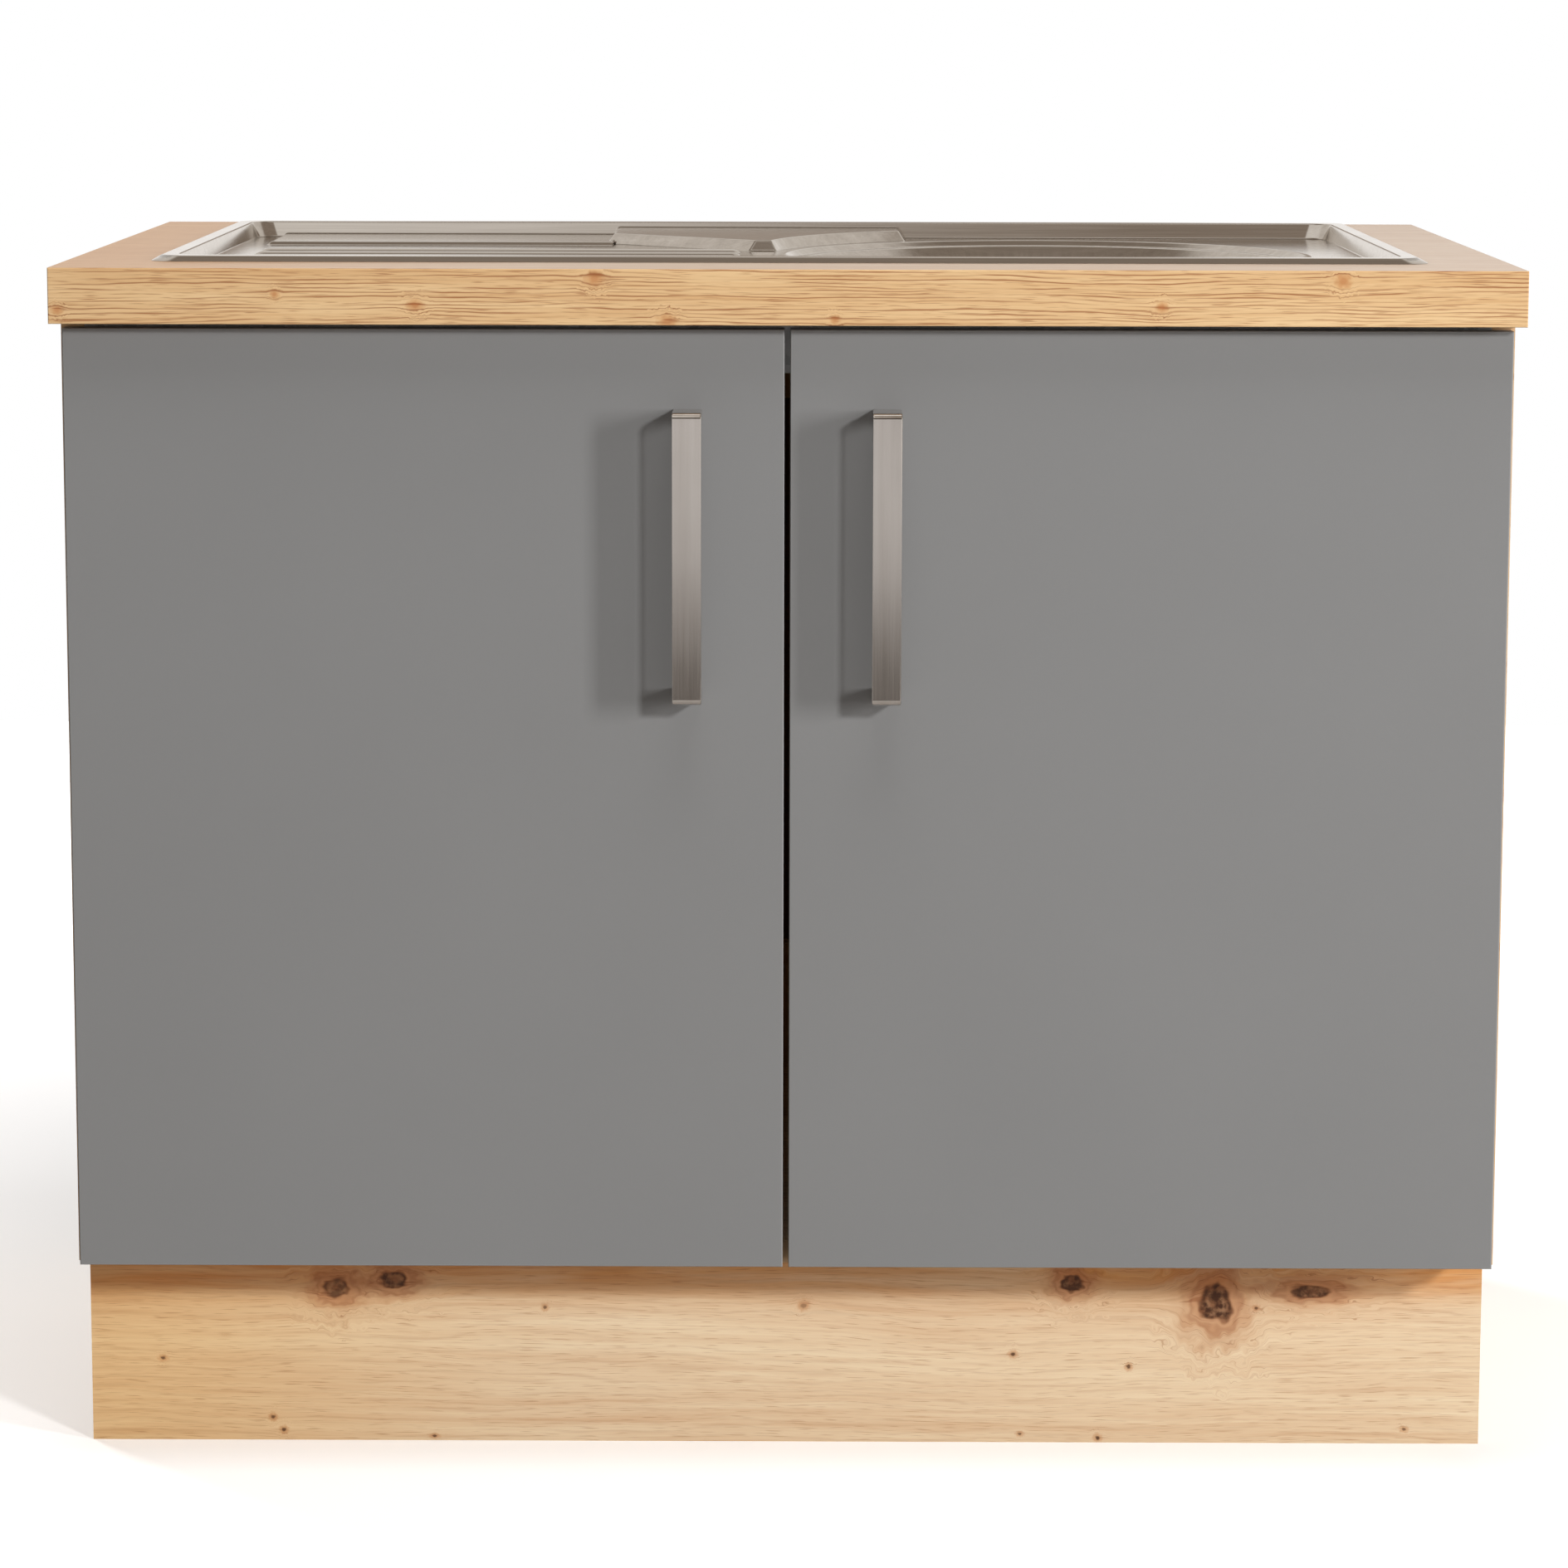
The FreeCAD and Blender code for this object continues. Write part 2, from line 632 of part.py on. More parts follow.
    glide_y = [plinth_back + dims.glide_inset, carcass_back - dims.glide_inset]
    glides = [rod(f"glide_{index}", dims.glide_radius, dims.glide_height,
                  (-carcass_half + board_middle, y, ZERO)) for index, y in enumerate(glide_y)]
    node("floor_glides", group("glide_set", with_twins("glide", glides)))


def back_screw_places():
    """Where the shanks of the left-hand screws of the back panel start, on its rear face."""
    rear = carcass_back + dims.back_sheet
    board_middle = dims.board_thickness / 2
    rail_middle = dims.rear_rail_height / 2
    low = bottom_top + dims.rear_rail_height
    rise = carcass_top - dims.rear_rail_height - low
    places = [(-carcass_half + board_middle, rear, low + rise * share) for share in BACK_SCREW_SHARES]
    for height in (dims.plinth_height + board_middle, bottom_top + rail_middle,
                   carcass_top - rail_middle):
        places.append((-inner_half / 3, rear, height))
    return places


def build_back_panel(holes):
    """The thin back panel on the rear edges of the carcass, with its opening for the pipes."""
    half = carcass_half - dims.back_inset
    depth = (carcass_back, carcass_back + dims.back_sheet)
    blank = box("back_blank", (-half, half), depth,
                (dims.plinth_height + dims.back_inset, carcass_top - dims.back_inset))
    middle = dims.pipe_opening_width / 2
    top = carcass_top - dims.pipe_opening_drop
    opening = box("pipe_opening", (bowl_x - middle, bowl_x + middle), depth,
                  (top - dims.pipe_opening_height, top))
    node("back_panel", cut("back_drilled", blank, holes + [opening]))
    screws = [copy_at(f"back_screw_{index}", small_screw, at, "-y")
              for index, at in enumerate(back_screw_places())]
    node("back_panel_screws", group("back_screw_set", with_twins("back_screw", screws)))


def build_steel_rail():
    """The folded front rail between the side panels, with its end tabs and screws."""
    sheet_size = dims.steel_rail_sheet
    low = carcass_top - dims.steel_rail_height
    rear = carcass_front + dims.steel_rail_depth
    outline = [(carcass_front, low), (carcass_front + sheet_size, low),
               (carcass_front + sheet_size, carcass_top - sheet_size),
               (rear - sheet_size, carcass_top - sheet_size),
               (rear - sheet_size, carcass_top - dims.steel_rail_lip),
               (rear, carcass_top - dims.steel_rail_lip), (rear, carcass_top),
               (carcass_front, carcass_top)]
    folded = padded("rail_fold", outline, "YZ_Plane", inner_half * 2, middle=True)
    tab = box("rail_tab", (-inner_half, -inner_half + sheet_size),
              (carcass_front + sheet_size, rear - sheet_size), (low, carcass_top - sheet_size))
    screw_at = rail_screw_place()
    hole = rod("rail_hole", dims.screw_radius, sheet_size, (-inner_half, *screw_at[1:]), "x")
    tab = cut("rail_tab_drilled", tab, [hole])
    node("front_rail", join("rail", [folded, tab, mirrored("rail_tab_right", tab)]))
    screw = copy_at("rail_screw", small_screw, screw_at, "-x")
    node("front_rail_screws", group("rail_screws", [screw, mirrored("rail_screw_right", screw)]))


def rail_screw_place():
    """Where the shank of the left rail screw starts, on the rail's end tab."""
    y = carcass_front + dims.steel_rail_depth / 2
    z = carcass_top - dims.steel_rail_height + dims.screw_head_radius * 2
    return -inner_half + dims.steel_rail_sheet, y, z


def screw_form(name, length, flat):
    """A screw whose shank runs along +Z from the origin, with its head behind it."""
    head = dims.screw_head_radius
    low = -dims.screw_head_height
    return turned(name, [(ZERO, low), (flat, low), (head, ZERO), (dims.screw_radius, ZERO),
                         (dims.screw_radius, length), (ZERO, length)])


def screw_hole(name, at, along):
    """The hole that a small screw's shank fills."""
    return rod(name, dims.screw_radius, dims.screw_length, at, along)


def top_bracket_depths():
    """The Y of the front edge of each left-hand worktop bracket."""
    rail_front = carcass_back - dims.board_thickness
    return [carcass_front + dims.steel_rail_depth + dims.bracket_inset,
            rail_front - dims.bracket_inset - dims.bracket_width]


def side_bracket_holes():
    """Screw holes in the left side panel for rail, worktop brackets and plinth bracket."""
    start = -inner_half + dims.bracket_sheet
    half = dims.bracket_width / 2
    spots = [(start, y + half, carcass_top - dims.bracket_hole) for y in top_bracket_depths()]
    spots.append((start, plinth_back + dims.bracket_hole, dims.plinth_height / 2))
    spots.append(rail_screw_place())
    return [screw_hole(f"side_bracket_hole_{index}", at, "-x") for index, at in enumerate(spots)]


def plinth_screw_holes():
    """Screw hole in the plinth for the left plinth bracket."""
    at = (-inner_half + dims.bracket_hole, plinth_back + dims.bracket_sheet, dims.plinth_height / 2)
    return [screw_hole("plinth_screw_hole", at, "-y")]


def build_brackets():
    """Angle brackets that hold the worktop and the plinth, with their screws."""
    leg = dims.bracket_leg
    reach = dims.bracket_hole
    thick = dims.bracket_sheet
    width = dims.bracket_width
    angle = [(ZERO, ZERO), (leg, ZERO), (leg, thick), (thick, thick), (thick, leg), (ZERO, leg)]
    profile = padded("bracket_fold", angle, "XY_Plane", width)
    across = cut("bracket_drilled", profile, [
        rod("bracket_hole_1", dims.screw_radius, thick, (reach, ZERO, width / 2), "y"),
        rod("bracket_hole_2", dims.screw_radius, thick, (ZERO, reach, width / 2), "x")])

    brackets = []
    screws = []
    for index, y in enumerate(top_bracket_depths()):
        brackets.append(copy_at(f"top_bracket_{index}", across, (-inner_half, y, carcass_top), "y"))
        up = (-inner_half + reach, y + width / 2, carcass_top - thick)
        side = (-inner_half + thick, y + width / 2, carcass_top - reach)
        screws.append(copy_at(f"top_screw_up_{index}", small_screw, up, "z"))
        screws.append(copy_at(f"top_screw_side_{index}", small_screw, side, "-x"))
    node("worktop_brackets", group("top_brackets", with_twins("top_bracket", brackets)))
    node("worktop_bracket_screws", group("top_screws", with_twins("top_screw", screws)))

    low = dims.plinth_height / 2 - width / 2
    bracket = place(group("plinth_bracket", [across]), -inner_half, plinth_back, low)
    back = (-inner_half + reach, plinth_back + thick, dims.plinth_height / 2)
    side = (-inner_half + thick, plinth_back + reach, dims.plinth_height / 2)
    screws = [copy_at("plinth_screw_back", small_screw, back, "-y"),
              copy_at("plinth_screw_side", small_screw, side, "-x")]
    node("plinth_brackets", group("plinth_bracket_set", with_twins("plinth_bracket", [bracket])))
    node("plinth_bracket_screws", group("plinth_screw_set", with_twins("plinth_screw", screws)))


def worktop_screw_holes():
    """Screw holes under the worktop for the four worktop brackets."""
    holes = []
    low = carcass_top - dims.bracket_sheet
    for index, y in enumerate(top_bracket_depths()):
        at = (-inner_half + dims.bracket_hole, y + dims.bracket_width / 2, low)
        holes.append(screw_hole(f"worktop_hole_{index}", at, "z"))
    return with_twins("worktop_hole", holes)


# ----------------------------------------------------------------------------- worktop
def sink_span(inset):
    """The X and Y ranges of an outline that lies inside the sink rim by an inset."""
    return (rim_left + inset, rim_right - inset), (rim_front + inset, rim_back - inset)


def build_worktop():
    """The worktop board with the sink cut-out, and its edge bands."""
    band = dims.band_thickness
    height = (carcass_top, dims.unit_height)
    board = box("worktop_blank", (-worktop_half + band, worktop_half - band),
                (front + band, worktop_back), height)
    x, y = sink_span(dims.cutout_inset)
    lower = rounded("cutout_low", x, y, dims.sink_corner, carcass_top)
    upper = rounded("cutout_high", x, y, dims.sink_corner, dims.unit_height)
    opening = lofted("worktop_opening", [lower, upper])
    node("worktop", cut("worktop_board", board, [opening] + worktop_screw_holes()))
    whole = soft_block("worktop_soft", (-worktop_half, worktop_half), (front, worktop_back), height)
    slice_form = box("worktop_band", (-worktop_half, worktop_half), (front, front + band), height)
    node("worktop_front_band", common("worktop_band_soft", slice_form, whole))
    end = box("worktop_end", (-worktop_half, -worktop_half + band), (front + band, worktop_back), height)
    node("worktop_end_bands", group("worktop_ends", with_twins("worktop_end", [end])))


# ----------------------------------------------------------------------------- sink
def bowl_form(name, inset):
    """The bowl as a solid of revolution, inside its outer surface by an inset."""
    mouth = dims.bowl_radius - inset
    first_lip = mouth - dims.lip_width
    wall_top = first_lip - dims.lip_width
    drop = dims.lip_drop
    seat = dims.drain_seat_radius - inset
    floor = inset - dims.bowl_drop
    corner = wall_top - dims.bowl_taper
    outline = [(ZERO, ZERO), (mouth, ZERO), ((mouth + first_lip) / 2, inset - drop),
               (first_lip, inset - drop), ((first_lip + wall_top) / 2, inset - drop * 2),
               (wall_top, inset - drop * 3), (corner, floor), (seat + dims.drain_seat_drop, floor),
               (seat, floor - dims.drain_seat_drop), (ZERO, floor - dims.drain_seat_drop)]

    def floor_ring(edge):
        curve = edge.Curve
        is_ring = isinstance(curve, Part.Circle)
        return is_ring and near(curve.Radius, corner) and near(curve.Center.z, floor)

    body = fillet_on(turned(name, outline), f"{name}_corner", floor_ring, dims.bowl_corner - inset)
    return place(body, bowl_x, bowl_y, floor_of_recess)


def sloping(name, low, high, inset, radius):
    """A solid between a rounded outline and a smaller one above it."""
    (x, y, bottom), top = low, high
    lower = rounded(f"{name}_low", x, y, radius, bottom)
    inner_x = (x[0] + inset, x[1] - inset)
    inner_y = (y[0] + inset, y[1] - inset)
    upper = rounded(f"{name}_high", inner_x, inner_y, radius, top)
    return lofted(name, [lower, upper])


def polygon(name, corners, height):
    """A sketch of straight lines lying flat at a height."""
    sketch = doc.addObject("Sketcher::SketchObject", name)
    draw(sketch, corners)
    return place(sketch, z=height)


def tap_deck():
    """The raised deck behind the bowl: a leaning prism cut back round the bowl."""
    def outline(shrink):
        """The deck's corners, drawn in by a shrink."""
        left = deck_left + shrink
        right = bowl_x - dims.deck_right - shrink
        low = rim_back - dims.deck_front + shrink
        shoulder = rim_back - dims.deck_shoulder
        far = rim_back - dims.rim_width
        return [(left, shoulder), (left + dims.deck_chamfer, low), (right, low), (right, far),
                (left, far)]

    low = polygon("deck_low", outline(ZERO), floor_of_recess)
    high = polygon("deck_high", outline(dims.step_slope), dims.unit_height)
    prism = lofted("deck_prism", [low, high])
    cone = doc.addObject("Part::Cone", "deck_clearance")
    mouth = dims.bowl_radius + dims.deck_margin
    bind(cone, Radius1=mouth, Radius2=mouth + dims.step_slope, Height=dims.recess_depth)
    place(cone, bowl_x, bowl_y, floor_of_recess)
    return cut("deck_form", prism, [cone])


def drainer_step():
    """The low step along the back of the drainer."""
    lean = dims.rib_rise
    top = floor_of_recess + dims.rib_rise
    right = deck_left + dims.step_slope
    far = rim_back - dims.rim_width

    def outline(shrink):
        """The step's corners, drawn in by a shrink."""
        left = ribs_left + shrink
        low = rim_back - dims.step_front + shrink
        return [(left, low), (right, low), (right, far), (left, far)]

    return lofted("step_form", [polygon("step_low", outline(ZERO), floor_of_recess),
                                polygon("step_high", outline(lean), top)])


def drainer_ribs():
    """The pressed ribs of the drainer: the part of each round-ended bar above the recess floor."""
    sunk = floor_of_recess + dims.rib_rise - dims.rib_round
    left = ribs_left + dims.rib_round
    straight = ribs_right - dims.rib_round - left
    rearmost = rim_back - dims.rib_rear
    spots = [rearmost - dims.rib_pitch * index for index in range(int(float(dims.rib_count)))]
    spots.append(rim_front + dims.rib_front)
    bars = []
    for index, y in enumerate(spots):
        bars.append(rod(f"rib_bar_{index}", dims.rib_round, straight, (left, y, sunk), "x"))
        for end, x in enumerate((left, left + straight)):
            ball = doc.addObject("Part::Sphere", f"rib_end_{index}_{end}")
            bind(ball, Radius=dims.rib_round)
            bars.append(place(ball, x, y, sunk))
    above = box("above_floor", (-worktop_half, worktop_half), (front, worktop_back),
                (floor_of_recess, dims.unit_height))
    return common("rib_form", join("rib_bars", bars), above)


def build_sink():
    """The pressed sink: rim, recess, drainer, tap deck and bowl, all of one sheet."""
    sheet_size = dims.sink_sheet
    rim_top = dims.unit_height + dims.rim_height
    x, y = sink_span(ZERO)
    corner = dims.sink_corner
    rim = sloping("rim_form", (x, y, dims.unit_height), rim_top, dims.rim_bevel, corner)
    hollow_x, hollow_y = sink_span(sheet_size * 2)
    hollow = sloping("rim_hollow", (hollow_x, hollow_y, dims.unit_height), rim_top - sheet_size,
                     dims.rim_bevel, corner)
    inner_x, inner_y = sink_span(dims.rim_width)
    recess = tapered_recess("recess_form", inner_x, inner_y, rim_top, floor_of_recess, ZERO)
    pan = tapered_recess("pan_form", inner_x, inner_y, rim_top, floor_of_recess - sheet_size, sheet_size)
    skin = cut("rim_skin", rim, [hollow])
    raised = [tap_deck(), drainer_step(), drainer_ribs()]
    tray = join("tray_solid", [skin, pan])
    tray = cut("tray_open", tray, [recess])
    formed = common("formed_in_recess", join("formed", raised), pan)
    tray = join("tray_raised", [tray, formed])
    lowered = place(group("formed_underside", [join("formed_again", raised)]), z=-sheet_size)
    tray = cut("tray_pressed", tray, [lowered])
    outer = bowl_form("bowl_outer", ZERO)
    inner = bowl_form("bowl_inner", sheet_size)
    drain_low = bowl_floor - dims.drain_seat_drop
    drain = rod("drain_hole", dims.drain_radius, dims.bowl_drop, (bowl_x, bowl_y, drain_low))
    bowl = cut("bowl_shell", outer, [inner, drain])
    tray = cut("tray_for_bowl", tray, [outer])
    node("sink", join("sink_pressing", [tray, bowl]))
    build_sink_fixing()


def tapered_recess(name, x, y, top, bottom, grow):
    """The recess: wide at the rim and narrower at its floor, larger all round by a growth."""
    lean = dims.recess_slope
    radius = dims.sink_corner
    upper_x = (x[0] - grow, x[1] + grow)
    upper_y = (y[0] - grow, y[1] + grow)
    lower_x = (x[0] + lean - grow, x[1] - lean + grow)
    lower_y = (y[0] + lean - grow, y[1] - lean + grow)
    lower = rounded(f"{name}_low", lower_x, lower_y, radius, bottom)
    upper = rounded(f"{name}_high", upper_x, upper_y, radius, top)
    return lofted(name, [lower, upper])


def build_sink_fixing():
    """The seal under the rim, and the clamps that pull the sink down."""
    seal_top = dims.unit_height + dims.rim_height - dims.sink_sheet
    outer_inset = dims.rim_bevel + dims.sink_sheet * 2
    inner_inset = dims.cutout_inset
    rings = []
    for name, inset in (("seal_outer", outer_inset), ("seal_inner", inner_inset)):
        x, y = sink_span(inset)
        low = rounded(f"{name}_low", x, y, dims.sink_corner, dims.unit_height)
        high = rounded(f"{name}_high", x, y, dims.sink_corner, seal_top)
        rings.append(lofted(name, [low, high]))
    node("sink_seal", cut("seal_ring", rings[0], [rings[1]]))

    thick = dims.clamp_sheet
    foot = carcass_top - dims.clamp_drop
    strip = [(-dims.clamp_foot, foot), (thick, foot), (thick, seal_top), (ZERO, seal_top),
             (ZERO, foot + thick), (-dims.clamp_foot, foot + thick)]
    clamp = padded("clamp_fold", strip, "XZ_Plane", dims.clamp_width, middle=True)
    screw_x = -dims.clamp_foot / 2
    hole = rod("clamp_hole", dims.screw_radius, thick, (screw_x, ZERO, foot))
    clamp = cut("clamp_drilled", clamp, [hole])
    screw = screw_form("clamp_screw", dims.clamp_drop, dims.screw_head_radius)
    x, y = sink_span(dims.cutout_inset + dims.clamp_sheet / 2)
    middle_x = (x[0] + x[1]) / 2
    middle_y = (y[0] + y[1]) / 2
    third = (x[1] - x[0]) / 3
    turns = {"left": 0, "front": 90, "right": 180, "back": 270}
    spots = [("left", x[0], middle_y), ("right", x[1], middle_y)]
    for share in (-1, 0, 1):
        spots.append(("front", middle_x + third * share, y[0]))
        spots.append(("back", middle_x + third * share, y[1]))
    clamps = []
    screws = []
    for index, (name, clamp_x, clamp_y) in enumerate(spots):
        turn = Rotation(Vector(0, 0, 1), turns[name])
        clamps.append(place(group(f"clamp_{index}", [clamp]), clamp_x, clamp_y, ZERO, turn=turn))
        way = turn.multVec(Vector(-1, 0, 0))
        reach = dims.clamp_foot / 2
        at = (clamp_x + reach * round(way.x), clamp_y + reach * round(way.y), foot)
        screws.append(copy_at(f"clamp_screw_{index}", screw, at))
    node("sink_clamps", group("clamp_set", clamps))
    node("sink_clamp_screws", group("clamp_screw_set", screws))


# ----------------------------------------------------------------------------- waste set
def build_waste():
    """Strainer, waste body and bottle trap under the bowl."""
    seat = bowl_floor - dims.drain_seat_drop + dims.sink_sheet
    under = bowl_floor - dims.drain_seat_drop
    hole = dims.drain_radius
    inside = hole - dims.skirt_wall - dims.basket_play / 2
    skirt_out = hole - dims.basket_play / 2
    flange_top = seat + dims.flange_sheet
    flange = [(inside, -dims.skirt_depth), (skirt_out, -dims.skirt_depth), (skirt_out, ZERO),
              (dims.flange_radius, ZERO), (dims.flange_radius - dims.flange_sheet, dims.flange_sheet),
              (inside, dims.flange_sheet)]
    node("strainer_flange", place(turned("flange", flange), bowl_x, bowl_y, seat))

    seal = [(hole, -dims.seal_thickness), (dims.flange_radius, -dims.seal_thickness),
            (dims.flange_radius, ZERO), (hole, ZERO)]
    node("strainer_seal", place(turned("waste_seal", seal), bowl_x, bowl_y, under))

    body_top = under - dims.seal_thickness
    wall = dims.waste_wall
    bore = dims.pipe_radius - dims.pipe_wall
    outer = hole + wall
    depth = dims.waste_depth
    spigot = dims.pipe_radius + dims.pipe_wall
    body = [(hole, ZERO), (dims.flange_radius, ZERO), (dims.flange_radius, -wall), (outer, -wall),
            (outer - wall, -depth), (spigot, -depth - wall), (spigot, -depth - dims.spigot_length),
            (bore, -depth - dims.spigot_length), (bore, -depth), (hole - wall, -depth + wall),
            (hole, -dims.skirt_depth)]
    node("waste_body", place(turned("waste", body), bowl_x, bowl_y, body_top))

    pipe = dims.pipe_radius
    spigot_end = body_top - depth - dims.spigot_length
    node("inlet_nut", place(pipe_nut("nut_upper"), bowl_x, bowl_y, spigot_end))

    inlet_low = spigot_end - dims.inlet_length
    tube = [(bore, ZERO), (pipe, ZERO), (pipe, dims.inlet_length), (bore, dims.inlet_length)]
    node("inlet_pipe", place(turned("inlet", tube), bowl_x, bowl_y, inlet_low))

    trap_top = spigot_end - dims.inlet_length / 2
    build_trap(trap_top, bore)
    build_basket(flange_top, inside)


def pipe_nut(name):
    """A nut round a pipe, wider above its middle to take the socket that it screws to."""
    narrow = dims.pipe_radius + dims.thread_play
    wide = dims.pipe_radius + dims.pipe_wall + dims.thread_play
    outer = dims.nut_radius
    half = dims.nut_height / 2
    return turned(name, [(narrow, -half), (outer, -half), (outer, half), (wide, half), (wide, ZERO),
                         (narrow, ZERO)])


def build_trap(top, bore):
    """The bottle trap with its cup, nut and outlet pipe."""
    pipe = dims.pipe_radius
    radius = dims.trap_radius
    wall = dims.trap_wall
    height = dims.trap_height
    play = dims.thread_play
    neck = pipe + play
    neck_end = -dims.trap_neck
    shoulder = neck_end - dims.trap_shoulder
    body = [(neck, ZERO), (neck + wall, ZERO), (neck + wall, neck_end), (radius, shoulder),
            (radius, -height), (radius - wall, -height), (radius - wall, shoulder - wall),
            (neck, neck_end - wall)]
    shell = place(turned("trap_turn", body), bowl_x, bowl_y, top)
    outlet_z = top - dims.outlet_drop - dims.nut_radius
    stub_end = bowl_y + radius + dims.outlet_stub
    stub_radius = pipe + dims.pipe_wall
    stub = rod("trap_stub", stub_radius, radius + dims.outlet_stub, (bowl_x, bowl_y, outlet_z), "y")
    stub_bore = rod("trap_stub_bore", bore, radius + dims.outlet_stub, (bowl_x, bowl_y, outlet_z), "y")
    inside = rod("trap_inside", radius - wall, height + shoulder - wall, (bowl_x, bowl_y, top - height))
    with_stub = join("trap_with_stub", [shell, cut("trap_stub_tube", stub, [inside])])
    node("trap_body", cut("trap_bored", with_stub, [stub_bore]))

    cup_out = radius + wall
    cup_rise = dims.trap_cup_height / 2
    cup = [(ZERO, -cup_rise), (radius - wall, -cup_rise), (radius, -cup_rise + wall), (radius, -wall),
           (cup_out, ZERO), (cup_out, cup_rise), (radius + play, cup_rise), (radius + play, ZERO),
           (radius - wall, -play), (radius - wall, wall - cup_rise), (ZERO, wall - cup_rise)]
    node("trap_cup", place(turned("cup_turn", cup), bowl_x, bowl_y, top - height))

    node("outlet_nut", place(pipe_nut("nut_side"), bowl_x, stub_end, outlet_z, turn=ALONG["-y"]))
    length = worktop_back - stub_end
    bead_low = dims.nut_height / 2 + dims.thread_play
    bead_high = bead_low + dims.bead_width
    bead = pipe + dims.bead_rise
    tube = [(bore, ZERO), (pipe, ZERO), (pipe, bead_low), (bead, bead_low), (bead, bead_high),
            (pipe, bead_high), (pipe, length), (bore, length)]
    node("outlet_pipe", place(turned("outlet", tube), bowl_x, stub_end, outlet_z, turn=ALONG["y"]))


def build_basket(top, inside):
    """The lift-out strainer basket with its knob."""
    radius = inside - dims.basket_play
    thin = dims.basket_sheet
    rim = dims.basket_rim
    depth = dims.basket_depth
    knob = dims.knob_radius
    stem = dims.stem_radius
    cup = [(ZERO, -depth), (radius - rim, -depth), (radius, -rim), (radius, ZERO),
           (radius + rim, ZERO), (radius + rim, thin), (radius - thin, thin), (radius - thin, -rim),
           (radius - rim - thin, thin - depth), (stem, thin - depth), (stem, -dims.knob_height),
           (knob, -dims.knob_height), (knob, ZERO), (ZERO, ZERO)]
    basket = place(turned("basket_turn", cup), bowl_x, bowl_y, top)
    holes = []
    for ring, share in enumerate(BASKET_RINGS):
        count = int(float(dims.basket_hole_count)) * (ring + 1)
        for index in range(count):
            angle = 2 * math.pi * index / count
            spread = (radius - rim) * share
            x = bowl_x + spread * math.cos(angle)
            y = bowl_y + spread * math.sin(angle)
            holes.append(rod(f"basket_hole_{ring}_{index}", dims.basket_hole_radius, thin * 2,
                             (x, y, top - depth - thin / 2)))
    node("strainer_basket", cut("basket_drilled", basket, holes))


# ----------------------------------------------------------------------------- doors
def build_door():
    """The left door with its bands, handle, hinge cups and bumpers, and the right-hand twins."""
    band = dims.band_thickness
    x = (door_outer, door_outer + door_width)
    y = (door_face, door_back)
    z = (door_low, door_high)
    panel = box("door_blank", (x[0] + band, x[1] - band), y, (z[0] + band, z[1] - band))
    cups = [rod(f"cup_hole_{index}", dims.cup_radius, dims.cup_depth, (cup_x, door_back, height), "-y")
            for index, height in enumerate(hinge_heights)]
    handle_holes = [rod(f"handle_hole_{index}", dims.screw_radius, dims.door_thickness,
                        (handle_x, door_face, height), "y")
                    for index, height in enumerate(handle_leg_heights())]
    screw_holes = [screw_hole(f"cup_screw_hole_{index}", at, "-y")
                   for index, at in enumerate(cup_screw_places())]
    tools = cups + handle_holes + screw_holes
    add_pair("door_panel", cut("door_drilled", panel, tools))

    uprights = [box("door_band_outer", (x[0], x[0] + band), y, z),
                box("door_band_inner", (x[1] - band, x[1]), y, z)]
    levels = [box("door_band_low", (x[0] + band, x[1] - band), y, (z[0], z[0] + band)),
              box("door_band_high", (x[0] + band, x[1] - band), y, (z[1] - band, z[1]))]
    whole = soft_block("door_soft", x, y, z)
    bands = [common(f"{band.Name}_soft", band, whole) for band in uprights + levels]
    add_pair("door_bands", group("door_band_set", bands))
    build_handle()
    build_bumpers()
    build_hinges()


def add_pair(name, item):
    """Adds the left-hand piece and its right-hand twin."""
    node(f"left_{name}", item)
    node(f"right_{name}", mirrored(f"right_{item.Name}", item))


def cup_screw_places():
    """Where the shanks of the left cup screws start, at the flange's outer face."""
    start = door_back + dims.cup_wall
    half = dims.wing_screw_pitch / 2
    return [(wing_middle, start, height + half * side) for height in hinge_heights for side in (-1, 1)]


def handle_leg_heights():
    """The heights of the handle's two screws."""
    high = handle_top - dims.handle_bar / 2
    return [high, high - handle_leg_pitch]


def build_handle():
    """The bow handle: a bent flat bar on two legs, and its screws."""
    reach = dims.handle_reach
    bar = dims.handle_bar
    low = handle_top - dims.handle_length
    outline = [(door_face, low), (door_face, low + bar), (door_face - reach + bar, low + bar),
               (door_face - reach + bar, handle_top - bar), (door_face, handle_top - bar),
               (door_face, handle_top), (door_face - reach, handle_top), (door_face - reach, low)]
    body = padded("handle_bow", outline, "YZ_Plane", dims.handle_width, middle=True)

    def outer_bend(edge):
        middle = edge.CenterOfMass
        at_end = near(middle.z, handle_top) or near(middle.z, low)
        return near(middle.x, ZERO) and near(middle.y, door_face - reach) and at_end

    place(fillet_on(body, "handle_bends", outer_bend, dims.handle_bend), x=handle_x)
    bite = dims.handle_thread
    holes = [rod(f"handle_thread_{index}", dims.screw_radius, bite, (handle_x, door_face, height), "-y")
             for index, height in enumerate(handle_leg_heights())]
    add_pair("handle", cut("handle_drilled", body, holes))
    screw = screw_form("handle_screw", dims.door_thickness + bite, dims.screw_head_radius)
    screws = [copy_at(f"handle_screw_{index}", screw, (handle_x, door_back, height), "-y")
              for index, height in enumerate(handle_leg_heights())]
    add_pair("handle_screws", group("handle_screw_set", screws))


